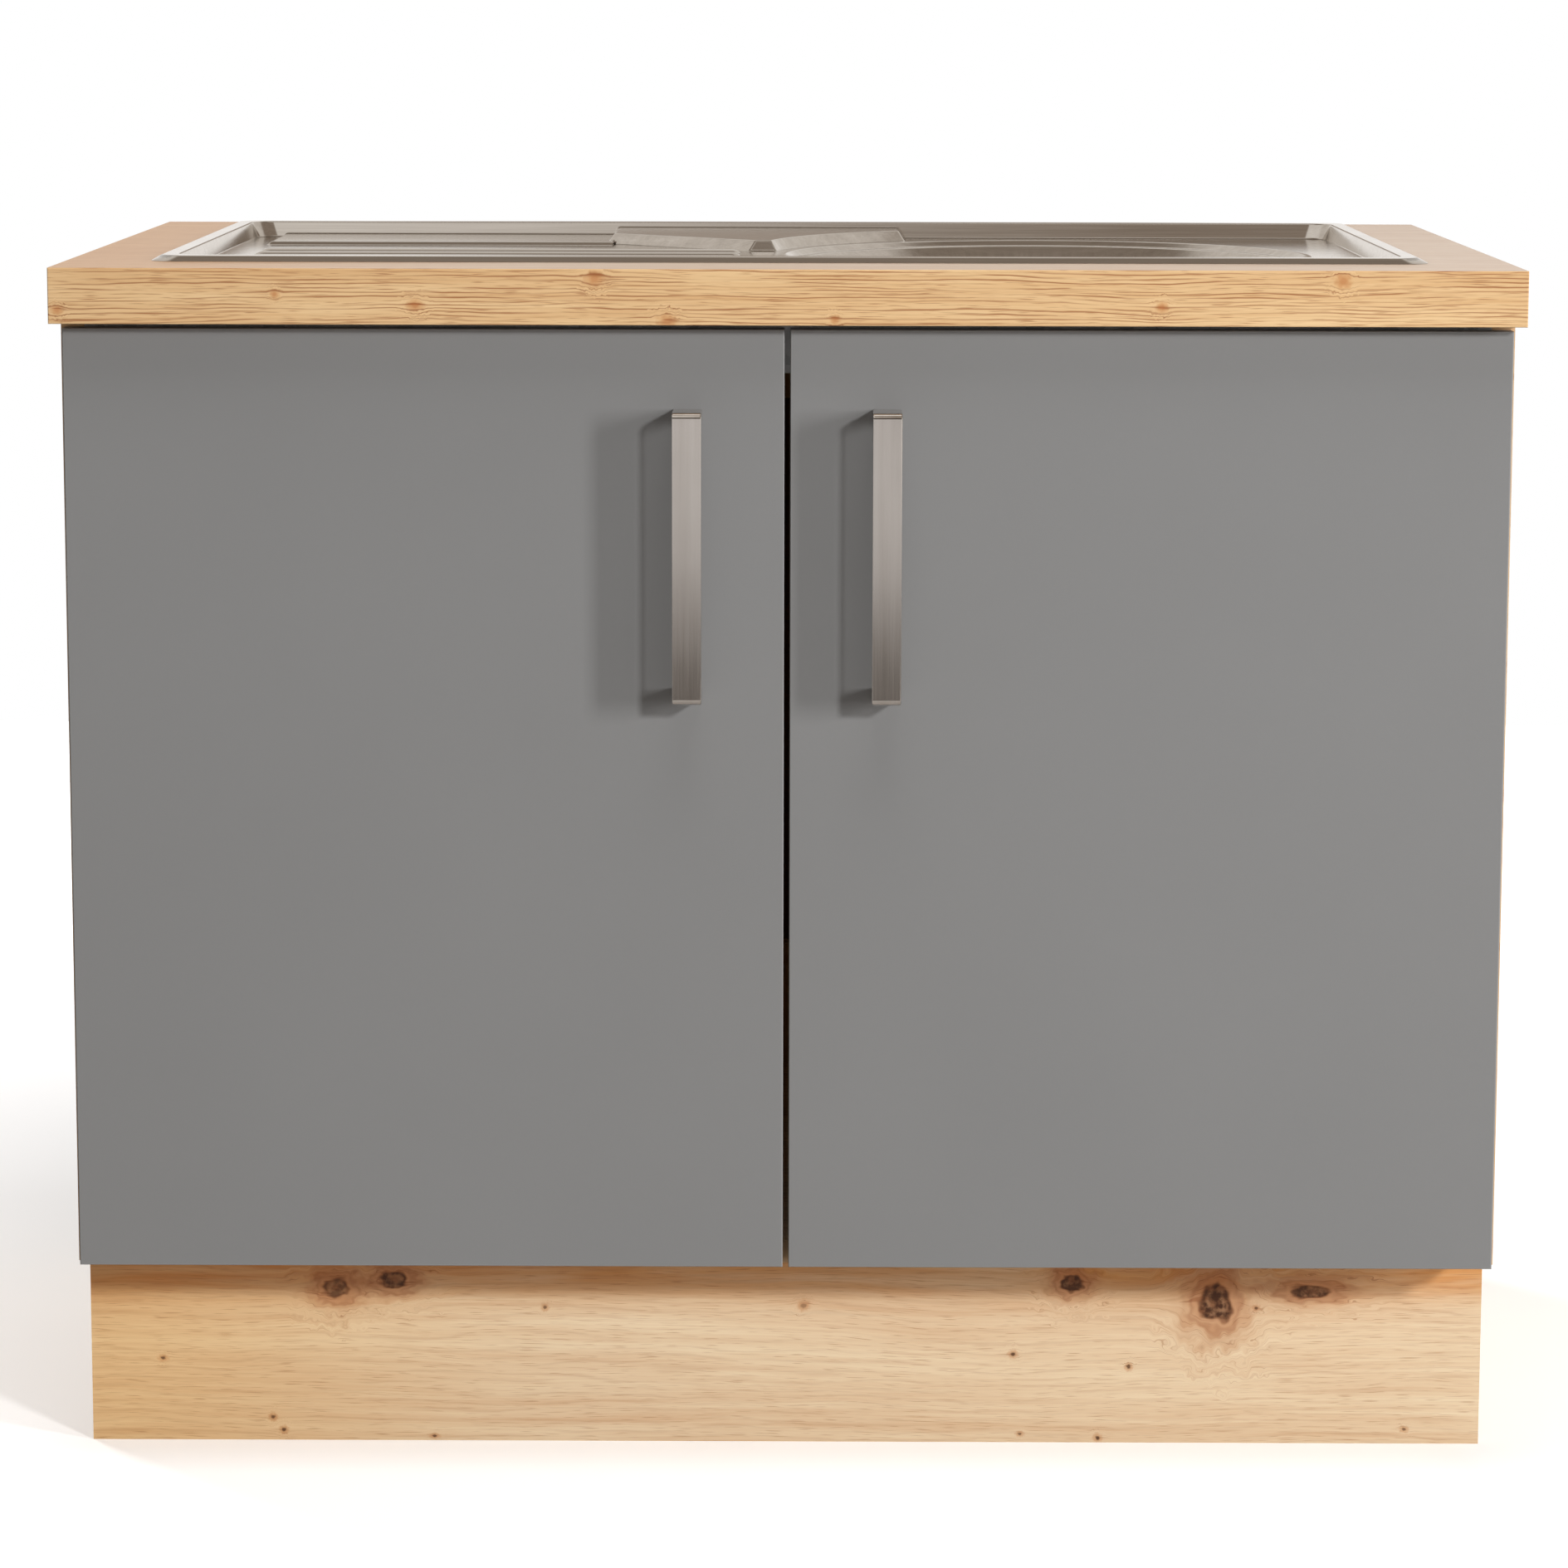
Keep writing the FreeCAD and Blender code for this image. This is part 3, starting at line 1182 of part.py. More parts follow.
def build_bumpers():
    """The soft bumpers between the door's free edge and the carcass."""
    length = dims.buffer_gap - dims.buffer_play
    x = -(dims.door_gap / 2 + dims.buffer_inset)
    heights = [dims.plinth_height + dims.board_thickness / 2, carcass_top - dims.steel_rail_height / 2]
    bumpers = [rod(f"bumper_{index}", dims.buffer_radius, length, (x, door_back, height), "y")
               for index, height in enumerate(heights)]
    add_pair("door_bumpers", group("bumper_set", bumpers))


# ----------------------------------------------------------------------------- hinges
def build_hinges():
    """The concealed hinges: cup, pin, arm and mounting plate, with their screws."""
    cups = []
    pins = []
    arms = []
    plates = []
    for index, height in enumerate(hinge_heights):
        cups.append(hinge_cup(index, height))
        pins.append(pin_rod(f"hinge_pin_{index}", height))
        arms.append(hinge_arm(index, height))
        plates.append(mounting_plate(index, height))
    add_pair("hinge_cups", group("hinge_cup_set", cups))
    add_pair("hinge_pins", group("hinge_pin_set", pins))
    add_pair("hinge_arms", group("hinge_arm_set", arms))
    add_pair("mounting_plates", group("mounting_plate_set", plates))
    screws = [copy_at(f"cup_screw_{index}", small_screw, at, "-y")
              for index, at in enumerate(cup_screw_places())]
    add_pair("cup_screws", group("cup_screw_set", screws))
    screws = [copy_at(f"plate_screw_{index}", small_screw, at, "-x")
              for index, at in enumerate(plate_screw_places())]
    add_pair("plate_screws", group("plate_screw_set", screws))


def pin_rod(name, height):
    """A hinge pin, or the hole for it through the ears of the cup."""
    half = dims.eye_width / 2 + dims.arm_play + dims.eye_radius
    return rod(name, dims.pin_radius, half * 2, (pin_x, pin_y, height - half))


def hinge_cup(index, height):
    """One hinge cup with its flange, its ears for the pin and its screw holes."""
    wall = dims.cup_wall
    radius = dims.cup_radius
    depth = dims.cup_depth
    ring = radius + dims.cup_ring
    floor = dims.cup_floor - depth
    outline = [(ZERO, -depth), (radius, -depth), (radius, ZERO), (ring, ZERO), (ring, wall),
               (radius - wall, wall), (radius - wall, floor), (ZERO, floor)]
    cup = place(turned(f"cup_turn_{index}", outline), cup_x, door_back, height, turn=ALONG["y"])
    half = dims.wing_width / 2
    wing = box(f"cup_wing_{index}", (wing_middle - half, wing_middle + half),
               (door_back, door_back + wall),
               (height - dims.wing_length / 2, height + dims.wing_length / 2))
    hollow_start = (cup_x, door_back - wall / 2, height)
    hollow = rod(f"cup_hollow_{index}", radius - wall, wall * 2, hollow_start, "y")
    pitch = dims.wing_screw_pitch / 2
    holes = [rod(f"wing_hole_{index}_{side}", dims.screw_radius, wall,
                 (wing_middle, door_back, height + pitch * side), "y") for side in (-1, 1)]
    wing = cut(f"cup_wing_drilled_{index}", wing, [hollow] + holes)
    ear_low = dims.eye_width / 2 + dims.arm_play
    ear_high = ear_low + dims.ear_thickness
    ear_x = (pin_x - dims.ear_width / 2, pin_x + dims.ear_width / 2)
    ear_y = (door_back + floor, pin_y + dims.eye_radius)
    inside_start = (cup_x, door_back - depth, height)
    inside = rod(f"cup_inside_{index}", radius - wall / 2, depth, inside_start, "y")
    ears = []
    for side, ear_z in enumerate(((height - ear_high, height - ear_low),
                                  (height + ear_low, height + ear_high))):
        ear = box(f"cup_ear_{index}_{side}", ear_x, ear_y, ear_z)
        ears.append(common(f"cup_ear_trim_{index}_{side}", ear, inside))
    whole = join(f"cup_whole_{index}", [cup, wing] + ears)
    return cut(f"cup_drilled_{index}", whole, [pin_rod(f"cup_pin_hole_{index}", height)])


def hinge_arm(index, height):
    """One hinge arm: a channel on the mounting plate and a hook that runs into the cup."""
    lift = -inner_half + dims.arm_lift
    thick = dims.arm_sheet
    eye = dims.eye_radius
    tail = carcass_front + dims.hook_tail
    hook = [(pin_x, pin_y - eye), (lift, pin_y - eye), (lift, tail), (lift - thick, tail),
            (lift - thick, pin_y - eye + thick), (pin_x, pin_y - eye + thick)]
    hook = place(padded(f"arm_hook_{index}", hook, "XY_Plane", dims.eye_width, middle=True), z=height)
    half_eye = dims.eye_width / 2
    ring = rod(f"arm_eye_{index}", eye, dims.eye_width, (pin_x, pin_y, height - half_eye))
    half = dims.arm_width / 2
    rear = carcass_front + dims.arm_length
    deep = dims.arm_cheek
    outer = box(f"arm_outer_{index}", (lift - deep, lift), (carcass_front + thick, rear),
                (height - half, height + half))
    inner = box(f"arm_inner_{index}", (lift - deep, lift - thick), (carcass_front + thick, rear),
                (height - half + thick, height + half - thick))
    channel = cut(f"arm_channel_{index}", outer, [inner])
    bore = rod(f"arm_bore_{index}", dims.pin_radius + dims.pin_play, dims.eye_width,
               (pin_x, pin_y, height - half_eye))
    whole = join(f"arm_whole_{index}", [hook, ring, channel])
    return cut(f"arm_bored_{index}", whole, [bore])


def mounting_plate(index, height):
    """One mounting plate: two wings for the screws and a ridge under the arm."""
    middle = carcass_front + dims.plate_setback
    half = dims.wing_width / 2
    wing = box(f"plate_wing_{index}", (-inner_half, -inner_half + dims.plate_sheet),
               (middle - half, middle + half),
               (height - dims.plate_wing / 2, height + dims.plate_wing / 2))
    pitch = dims.plate_screw_pitch / 2
    holes = [rod(f"plate_hole_{index}_{side}", dims.screw_radius, dims.plate_sheet,
                 (-inner_half, middle, height + pitch * side), "x") for side in (-1, 1)]
    wing = cut(f"plate_wing_drilled_{index}", wing, holes)
    ridge_half = dims.arm_width / 2 - dims.arm_sheet
    ridge = box(f"plate_ridge_{index}", (-inner_half, -inner_half + dims.arm_lift - dims.arm_sheet),
                (middle - dims.wing_width, middle + dims.wing_width),
                (height - ridge_half, height + ridge_half))
    return join(f"plate_{index}", [wing, ridge])


def plate_screw_places():
    """Where the shanks of the left plate screws start, on the mounting plates' wings."""
    x = -inner_half + dims.plate_sheet
    y = carcass_front + dims.plate_setback
    half = dims.plate_screw_pitch / 2
    return [(x, y, height + half * side) for height in hinge_heights for side in (-1, 1)]


def hinge_plate_holes():
    """Screw holes in the left side panel for the mounting plates."""
    return [screw_hole(f"side_plate_hole_{index}", at, "-x")
            for index, at in enumerate(plate_screw_places())]


# ----------------------------------------------------------------------------- the whole unit
small_screw = screw_form("screw", dims.screw_length, dims.screw_head_flat)
build_carcass()
build_steel_rail()
build_brackets()
build_worktop()
build_sink()
build_waste()
build_door()
doc.recompute()

for item in doc.Objects:
    if "Invalid" in item.State or "Error" in item.State:
        raise RuntimeError(f"{item.Name} failed: {item.State}")
for item in NODES:
    if item.Shape.isNull() or not item.Shape.isValid():
        raise RuntimeError(f"{item.Label} has no valid shape")

os.makedirs("parts", exist_ok=True)
for item in NODES:
    item.Shape.exportStep(os.path.join("parts", f"{item.Label}.step"))
    print(f"{item.Label}: {len(item.Shape.Solids)} solids, {item.Shape.Volume / 1000:.1f} cm3")
print(f"left hinge pins at x {float(pin_x):.2f}, y {float(pin_y):.2f}")
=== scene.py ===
"""The looks of a kitchen sink unit: its finishes, its rounded metal edges, the studio and the camera."""

import logging
import math
from dataclasses import dataclass, field
from enum import Enum

import bpy
from mathutils import Matrix, Vector


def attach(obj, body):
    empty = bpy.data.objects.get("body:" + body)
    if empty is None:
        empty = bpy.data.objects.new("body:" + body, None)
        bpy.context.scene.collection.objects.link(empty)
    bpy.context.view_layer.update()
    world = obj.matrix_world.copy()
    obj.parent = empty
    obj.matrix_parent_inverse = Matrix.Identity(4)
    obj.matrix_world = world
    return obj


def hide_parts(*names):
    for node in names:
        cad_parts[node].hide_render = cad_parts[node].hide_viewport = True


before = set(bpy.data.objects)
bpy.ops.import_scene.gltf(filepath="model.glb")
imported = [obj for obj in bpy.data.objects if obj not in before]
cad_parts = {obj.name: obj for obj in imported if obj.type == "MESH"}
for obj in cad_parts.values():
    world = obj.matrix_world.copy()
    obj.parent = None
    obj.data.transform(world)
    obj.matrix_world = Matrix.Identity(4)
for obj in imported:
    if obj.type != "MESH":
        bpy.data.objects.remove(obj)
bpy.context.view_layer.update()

LOG = logging.getLogger("sink_unit")
Colour = tuple[float, float, float, float]
Point = tuple[float, float, float]
Change = tuple[float, float]  # where a smooth change starts and where it ends


def grey(level: float) -> Colour:
    """A linear grey of that level, 0 to 1, with full alpha."""
    return (level, level, level, 1.0)


VIEWPORT_GREY = grey(0.6)


def paint(red: int, green: int, blue: int) -> Colour:
    """Turn a screen colour into the linear colour that a shader takes, by the sRGB curve.

    Args:
        red, green, blue: The screen colour, 0 to 255 each.

    Returns:
        The linear colour, with full alpha.
    """
    linear = []
    for part in (red, green, blue):
        share = part / 255
        linear.append(share / 12.92 if share <= 0.04045 else ((share + 0.055) / 1.055) ** 2.4)
    return (*linear, 1.0)


# ------------------------------------------------------------------ shader sums
class Value:
    """A number that varies over a surface: one node output, with Python's own operators."""

    def __init__(self, shader: "Nodes", socket: bpy.types.NodeSocket) -> None:
        """Keep the shader that the output belongs to, and the output."""
        self.shader = shader
        self.socket = socket

    def __add__(self, other: "Value | float") -> "Value":
        """Add two numbers."""
        return self.shader.sum_of("ADD", self, other)

    def __sub__(self, other: "Value | float") -> "Value":
        """Take another number from this one."""
        return self.shader.sum_of("SUBTRACT", self, other)

    def __rsub__(self, other: float) -> "Value":
        """Take this number from a plain one."""
        return self.shader.sum_of("SUBTRACT", other, self)

    def __mul__(self, other: "Value | float") -> "Value":
        """Multiply two numbers."""
        return self.shader.sum_of("MULTIPLY", self, other)

    def __truediv__(self, other: "Value | float") -> "Value":
        """Divide this number by another."""
        return self.shader.sum_of("DIVIDE", self, other)

    def __pow__(self, other: float) -> "Value":
        """Raise this number to a power."""
        return self.shader.sum_of("POWER", self, other)

    __radd__ = __add__
    __rmul__ = __mul__

    def wave(self) -> "Value":
        """The sine of this number, from -1 to 1."""
        return self.shader.sum_of("SINE", self)

    def most(self, other: "Value | float") -> "Value":
        """The larger of two numbers."""
        return self.shader.sum_of("MAXIMUM", self, other)

    def ease(self, start: float, end: float) -> "Value":
        """Go smoothly from 0 to 1 as this number goes from one level to another.

        Args:
            start, end: The two levels; the end may be the lower one.

        Returns:
            The eased step.
        """
        inputs = {"Value": self, "From Min": start, "From Max": end}
        step = self.shader.node("ShaderNodeMapRange", {"interpolation_type": "SMOOTHSTEP"}, inputs)
        return Value(self.shader, step.outputs[0])


class Nodes:
    """A tree of shader nodes."""

    def __init__(self, tree: bpy.types.NodeTree) -> None:
        """Keep the tree that the nodes go in."""
        self.tree = tree

    def feed(self, socket: bpy.types.NodeSocket, value: object) -> None:
        """Link a node's input to an output, or set it to a plain value.

        Args:
            socket: The input.
            value: A Value, an output socket, or a plain number, vector or colour.
        """
        if isinstance(value, Value):
            value = value.socket
        if isinstance(value, bpy.types.NodeSocket):
            self.tree.links.new(value, socket)
        else:
            socket.default_value = value

    def node(
        self, kind: str, settings: dict[str, object], inputs: dict[str | int, object]
    ) -> bpy.types.Node:
        """Add a node, set it up, and then feed its inputs.

        Args:
            kind: The node's type.
            settings: Its properties by name; "stops" are a colour ramp's places and colours.
            inputs: What each input takes, by the input's name or number.

        Returns:
            The new node.
        """
        node = self.tree.nodes.new(kind)
        for name, value in settings.items():
            if name == "stops":
                elements = node.color_ramp.elements
                while len(elements) < len(value):
                    elements.new(1.0)
                for element, (place, colour) in zip(elements, value):
                    element.position = place
                    element.color = colour
            else:
                setattr(node, name, value)
        for name, value in inputs.items():
            self.feed(node.inputs[name], value)
        return node

    def sum_of(self, operation: str, *numbers: Value | float) -> Value:
        """Work out one step of arithmetic on numbers that vary.

        Args:
            operation: The Math node's operation.
            numbers: What it works on.

        Returns:
            The result.
        """
        inputs = dict(enumerate(numbers))
        return Value(self, self.node("ShaderNodeMath", {"operation": operation}, inputs).outputs[0])

    def place(self, kind: str = "Object") -> list[Value]:
        """The point that is shaded, as its x, y and z.

        Args:
            kind: The Texture Coordinate output; "Object" is the point on the piece, in metres.

        Returns:
            The three numbers.
        """
        point = self.node("ShaderNodeTexCoord", {}, {}).outputs[kind]
        parts = self.node("ShaderNodeSeparateXYZ", {}, {0: point})
        return [Value(self, output) for output in parts.outputs]

    def point(self, x: Value | float, y: Value | float, z: Value | float) -> bpy.types.NodeSocket:
        """Put three numbers together as one point.

        Args:
            x, y, z: The three numbers.

        Returns:
            The point's output.
        """
        return self.node("ShaderNodeCombineXYZ", {}, {0: x, 1: y, 2: z}).outputs[0]

    def noise(
        self, at: bpy.types.NodeSocket, scale: float, detail: float, bend: float = 0.0
    ) -> Value:
        """Smooth noise from 0 to 1.

        Args:
            at: The point it is read at.
            scale: Features for each unit of that point.
            detail: How many finer layers it has.
            bend: How far it is distorted.

        Returns:
            The noise.
        """
        inputs = {"Vector": at, "Scale": scale, "Detail": detail, "Distortion": bend}
        return Value(self, self.node("ShaderNodeTexNoise", {}, inputs).outputs[0])

    def cells(self, at: bpy.types.NodeSocket, scale: float) -> bpy.types.Node:
        """Random cells.

        Args:
            at: The point they are read at.
            scale: Cells for each unit of that point.

        Returns:
            The node, with its Distance and Color outputs.
        """
        return self.node("ShaderNodeTexVoronoi", {}, {"Vector": at, "Scale": scale})

    def ramp(self, value: Value, stops: list[tuple[float, Colour]]) -> bpy.types.NodeSocket:
        """Turn a number into a colour.

        Args:
            value: The number, 0 to 1.
            stops: Places and colours along the ramp.

        Returns:
            The colour's output.
        """
        return self.node("ShaderNodeValToRGB", {"stops": stops}, {0: value}).outputs[0]

    def blend(self, share: object, under: object, over: object, way: str = "MIX") -> bpy.types.NodeSocket:
        """Lay one colour over another.

        Args:
            share: How much of the upper colour shows.
            under, over: The two colours, plain or as outputs.
            way: The Mix node's blend type.

        Returns:
            The colour's output.
        """
        settings = {"data_type": "RGBA", "blend_type": way}
        return self.node("ShaderNodeMix", settings, {0: share, 6: under, 7: over}).outputs[2]


class Shader(Nodes):
    """One material and the nodes that make it."""

    def __init__(self, name: str) -> None:
        """Start an empty material of that name, with its surface shader.

        Args:
            name: The material's name.
        """
        self.material = bpy.data.materials.new(name)
        self.material.use_nodes = True
        super().__init__(self.material.node_tree)
        self.tree.nodes.clear()
        self.surface = self.tree.nodes.new("ShaderNodeBsdfPrincipled")
        end = self.tree.nodes.new("ShaderNodeOutputMaterial")
        self.tree.links.new(self.surface.outputs[0], end.inputs["Surface"])

    def relief(self, height: Value, distance: float, strength: float) -> None:
        """Make the surface look raised where a number is high.

        Args:
            height: The number.
            distance: How far a height of 1 stands up, in metres.
            strength: How much of that shows.
        """
        inputs = {"Strength": strength, "Distance": distance, "Height": height}
        bump = self.node("ShaderNodeBump", {}, inputs)
        self.feed(self.surface.inputs["Normal"], bump.outputs[0])

    def finish(self, **inputs: object) -> bpy.types.Material:
        """Feed the surface shader and hand over the material.

        Args:
            inputs: What each input takes; its name is written with underscores.

        Returns:
            The material.
        """
        for name, value in inputs.items():
            self.feed(self.surface.inputs[name.replace("_", " ")], value)
        self.material.diffuse_color = VIEWPORT_GREY
        return self.material


# ------------------------------------------------------------------ finishes
class Run(Enum):
    """The axes along the grain or brushing, across it on the face, and through the piece."""

    FRONT = (0, 2, 1)
    TOP = (0, 1, 2)
    SIDE = (2, 1, 0)
    UPRIGHT = (2, 0, 1)


@dataclass(frozen=True)
class Grain:
    """Noise drawn out one way: its features for each metre along, across and through, and its layers."""

    along: float
    across: float
    through: float = 1.0
    detail: float = 2.0

    def over(
        self, shader: Nodes, along: Value, across: Value, through: Value | float, start: float = 0.0
    ) -> Value:
        """Draw the noise over a surface.

        Args:
            shader: The shader.
            along, across: The point along and across the grain.
            through: The point through the board, or a plain number that sets one pattern apart.
            start: A number that shifts the pattern along the grain.

        Returns:
            The noise, 0 to 1.
        """
        first = along * self.along + start if start else along * self.along
        at = shader.point(first, across * self.across, through * self.through)
        return shader.noise(at, 1.0, self.detail)


SLOW_BEND = Grain(1.7, 7.0, 3.0)
QUICK_BEND = Grain(7.0, 30.0)
BROAD_TONE = Grain(1.6, 22.0)
BAND_TONE = Grain(4.5, 150.0, detail=3.0)
FINE_TONE = Grain(14.0, 800.0)
RING_WAVER = Grain(9.0, 55.0, detail=3.0)
RING_PATCHES = Grain(11.0, 240.0)
# Patches that break up the painted shade along the top of the plinth.
PAINTED_SHADE_PATCHES = Grain(5.0, 60.0, detail=3.0)
DASHES = Grain(46.0, 1500.0, detail=1.0)
FIBRES = Grain(60.0, 2600.0, 900.0)
FINE_BRUSHING = Grain(14.0, 1100.0, 1100.0)
BROAD_BRUSHING = Grain(5.0, 160.0, 160.0)
BEECH_TONE = Grain(30.0, 220.0, 220.0, 3.0)
BEECH_FLECKS = Grain(160.0, 1100.0, 1100.0, 1.0)

# Where a mark starts to show and where it is full, as levels of its noise.
DASH_CUT: Change = (0.58, 0.72)
RING_CUT: Change = (0.36, 0.62)
# The patches of painted shade: where they start to show and where they are full.
PAINTED_SHADE_CUT: Change = (0.35, 0.65)
GRIT_CUT: Change = (0.34, 0.62)
BEECH_CUT: Change = (0.6, 0.72)
BOARD_CUT: Change = (0.62, 0.72)

# Where each part of a knot starts to show and where it is full, as distances from its heart in knot sizes.
PARTED_GRAIN: Change = (4.6, 0.7)
RIPPLES: Change = (2.6, 0.8)
RED_STAIN: Change = (3.4, 0.9)
HALO: Change = (2.6, 0.9)
OPEN_HEART: Change = (1.1, 0.8)
CLOSED_HEART: Change = (1.1, 0.45)

# How strongly a knot draws the grain's lines apart: 1 would leave no line in it.
OPEN_KNOT_PULL = 0.92
CLOSED_KNOT_PULL = 0.6

# Plain numbers that keep one pattern of noise apart from the next.
BEND_APART = 4.0
WAVER_APART = 7.0
PATCHES_APART = 3.0
GRIT_APART = 2.0
KNOTS_APART = 31.0

GRIT_PER_METRE = 170.0
RIPPLE_RADIANS = 9.0

# The brown of the painted shade: the doors' shadow laid over the plinth's top.
PAINTED_SHADE_BROWN = paint(236, 192, 140)
KNOT_STAIN = paint(204, 150, 106)
KNOT_HALO = paint(214, 160, 106)
BOARD_FLECK = paint(150, 112, 78)
BEECH_DARK = paint(196, 158, 116)
BEECH_PALE = paint(224, 192, 152)
BEECH_FLECK = paint(170, 118, 80)


@dataclass(frozen=True)
class Knot:
    """A knot in the oak: its place along and across the grain, its half sizes, and how dark it is."""

    along: float
    across: float
    long: float
    wide: float
    dark: float
    open_heart: bool = False


@dataclass(frozen=True)
class Finish:
    """A finish that a piece can be dressed in."""

    name: str

    def make(self) -> bpy.types.Material:
        """Make the material, which each kind of finish does in its own way."""
        raise NotImplementedError


@dataclass(frozen=True)
class OakDecor(Finish):
    """Printed oak with long grain, brown dashes and knots that the grain parts round, and a band of painted
    shade along one edge where one is asked for.

    Places, gaps, sways, heights and depths are in metres, and the waver of the rings is in their gaps.
    """

    run: Run
    pale: Colour
    tan: Colour
    line: Colour
    line_gap: float
    line_share: float
    dash_share: float
    seed: float
    heart: Colour = paint(72, 44, 30)
    knots: tuple[Knot, ...] = ()
    sway: float = 0.010
    # A colour laid over one end; on the worktop it is a painted reflection.
    warm_end: Colour | None = None
    warm_from: Change = (-0.12, -0.52)
    # Painted shade: where the band of the doors' shadow starts up the board and how tall its fade is, in
    # metres.
    painted_shade_above: float | None = None
    painted_shade_height: float = 0.035
    roughness: float = 0.46
    ring_waver: float = 3.2
    ring_sharpness: float = 4.0
    pore_depth: float = 0.00022

    def make(self) -> bpy.types.Material:
        """Make the printed oak.

        Returns:
            The material.
        """
        shader = Shader(self.name)
        places = shader.place()
        along, across, depth = (places[axis] for axis in self.run.value)
        reaches = [self.reach_of(shader, knot, along, across) for knot in self.knots]
        flow = self.flow_of(shader, (along, across, depth), reaches)
        colour = self.wood_of(shader, along, across, flow)
        lines = self.lines_of(shader, along, flow)
        dashes = DASHES.over(shader, along, flow, self.seed).ease(*DASH_CUT)
        marks = (lines * self.line_share).most(dashes * self.dash_share)
        colour = shader.blend(marks, colour, self.line, "MULTIPLY")
        shade = 1.0 - marks * 0.4
        for knot, reach in zip(self.knots, reaches):
            colour, shade = self.set_knot(shader, knot, reach, (along, across), (colour, shade))
        fibre = FIBRES.over(shader, along, flow, depth)
        shader.relief(shade + fibre * 0.35, self.pore_depth, 0.55)
        rough = self.roughness + (1.0 - shade) * 0.14 + fibre * 0.08
        return shader.finish(Base_Color=colour, Roughness=rough, IOR=1.46)

    def flow_of(
        self, shader: Shader, places: tuple[Value, Value, Value], reaches: list[Value]
    ) -> Value:
        """The point across the grain, bent as the grain sways and parts round the knots.

        Args:
            shader: The shader.
            places: The point along the grain, across it and through the board.
            reaches: The distance from each knot, in the knots' order.

        Returns:
            The bent point.
        """
        along, across, depth = places
        slow = SLOW_BEND.over(shader, along, across, depth, self.seed)
        quick = QUICK_BEND.over(shader, along, across, BEND_APART, self.seed)
        flow = across + (slow - 0.5) * self.sway * 2.0 + (quick - 0.5) * self.sway * 0.45
        for knot, reach in zip(self.knots, reaches):
            pull = reach.ease(*PARTED_GRAIN) * (OPEN_KNOT_PULL if knot.open_heart else CLOSED_KNOT_PULL)
            flow = flow - (across - knot.across) * pull
        return flow

    def wood_of(self, shader: Shader, along: Value, across: Value, flow: Value) -> bpy.types.NodeSocket:
        """The colour of the wood before its lines and knots, with the warm end and the band of painted
        shade.

        Args:
            shader: The shader.
            along, across: The point along and across the grain.
            flow: The point across it, bent as the grain is.

        Returns:
            The colour's output.
        """
        tone = self.tone_of(shader, along, flow)
        colour = shader.ramp(tone, [(0.25, self.tan), (0.62, self.pale)])
        # The warm end: on the worktop a painted reflection, on the plinth a warmer tone towards its left
        # end.
        if self.warm_end is not None:
            warmth = along.ease(*self.warm_from) * 0.75
            colour = shader.blend(warmth, colour, self.warm_end, "MULTIPLY")
        # Painted shade: the shadow that the doors cast on the plinth's top, darkened in patches.
        if self.painted_shade_above is not None:
            patches = PAINTED_SHADE_PATCHES.over(shader, along, flow, self.seed).ease(*PAINTED_SHADE_CUT)
            height = across.ease(self.painted_shade_above, self.painted_shade_above + self.painted_shade_height)
            colour = shader.blend(height * (patches * 0.6 + 0.4), colour, PAINTED_SHADE_BROWN, "MULTIPLY")
        return colour

    def reach_of(self, shader: Shader, knot: Knot, along: Value, across: Value) -> Value:
        """The distance from a knot's heart, 1 at its rim, uneven as a real one is.

        Args:
            shader: The shader.
            knot: The knot.
            along, across: The point along and across the grain.

        Returns:
            The distance.
        """
        x = (along - knot.along) / knot.long
        y = (across - knot.across) / knot.wide
        from_heart = shader.point(x, y, 0.0)
        length = shader.node("ShaderNodeVectorMath", {"operation": "LENGTH"}, {0: from_heart})
        uneven = shader.noise(shader.point(x, y, knot.along * KNOTS_APART), 1.1, 1.0)
        return Value(shader, length.outputs["Value"]) * (uneven + 0.5)

    def tone_of(self, shader: Shader, along: Value, flow: Value) -> Value:
        """The broad light and dark of the wood, 0 to 1.

        Args:
            shader: The shader.
            along: The point along the grain.
            flow: The point across it, bent as the grain is.

        Returns:
            The tone.
        """
        broad = BROAD_TONE.over(shader, along, flow, self.seed)
        bands = BAND_TONE.over(shader, along, flow, self.seed)
        fine = FINE_TONE.over(shader, along, flow, self.seed)
        return broad * 0.36 + bands * 0.38 + fine * 0.26

    def lines_of(self, shader: Shader, along: Value, flow: Value) -> Value:
        """The year rings, as thin dark lines that follow the grain.

        Args:
            shader: The shader.
            along: The point along the grain.
            flow: The point across it, bent as the grain is.

        Returns:
            1 on a line, 0 off it.
        """
        waver = RING_WAVER.over(shader, along, flow, self.seed + WAVER_APART)
        turn = (flow / self.line_gap + waver * self.ring_waver) * math.tau
        ring = (turn.wave() * 0.5 + 0.5) ** self.ring_sharpness
        patches = RING_PATCHES.over(shader, along, flow, self.seed + PATCHES_APART)
        return ring * patches.ease(*RING_CUT)

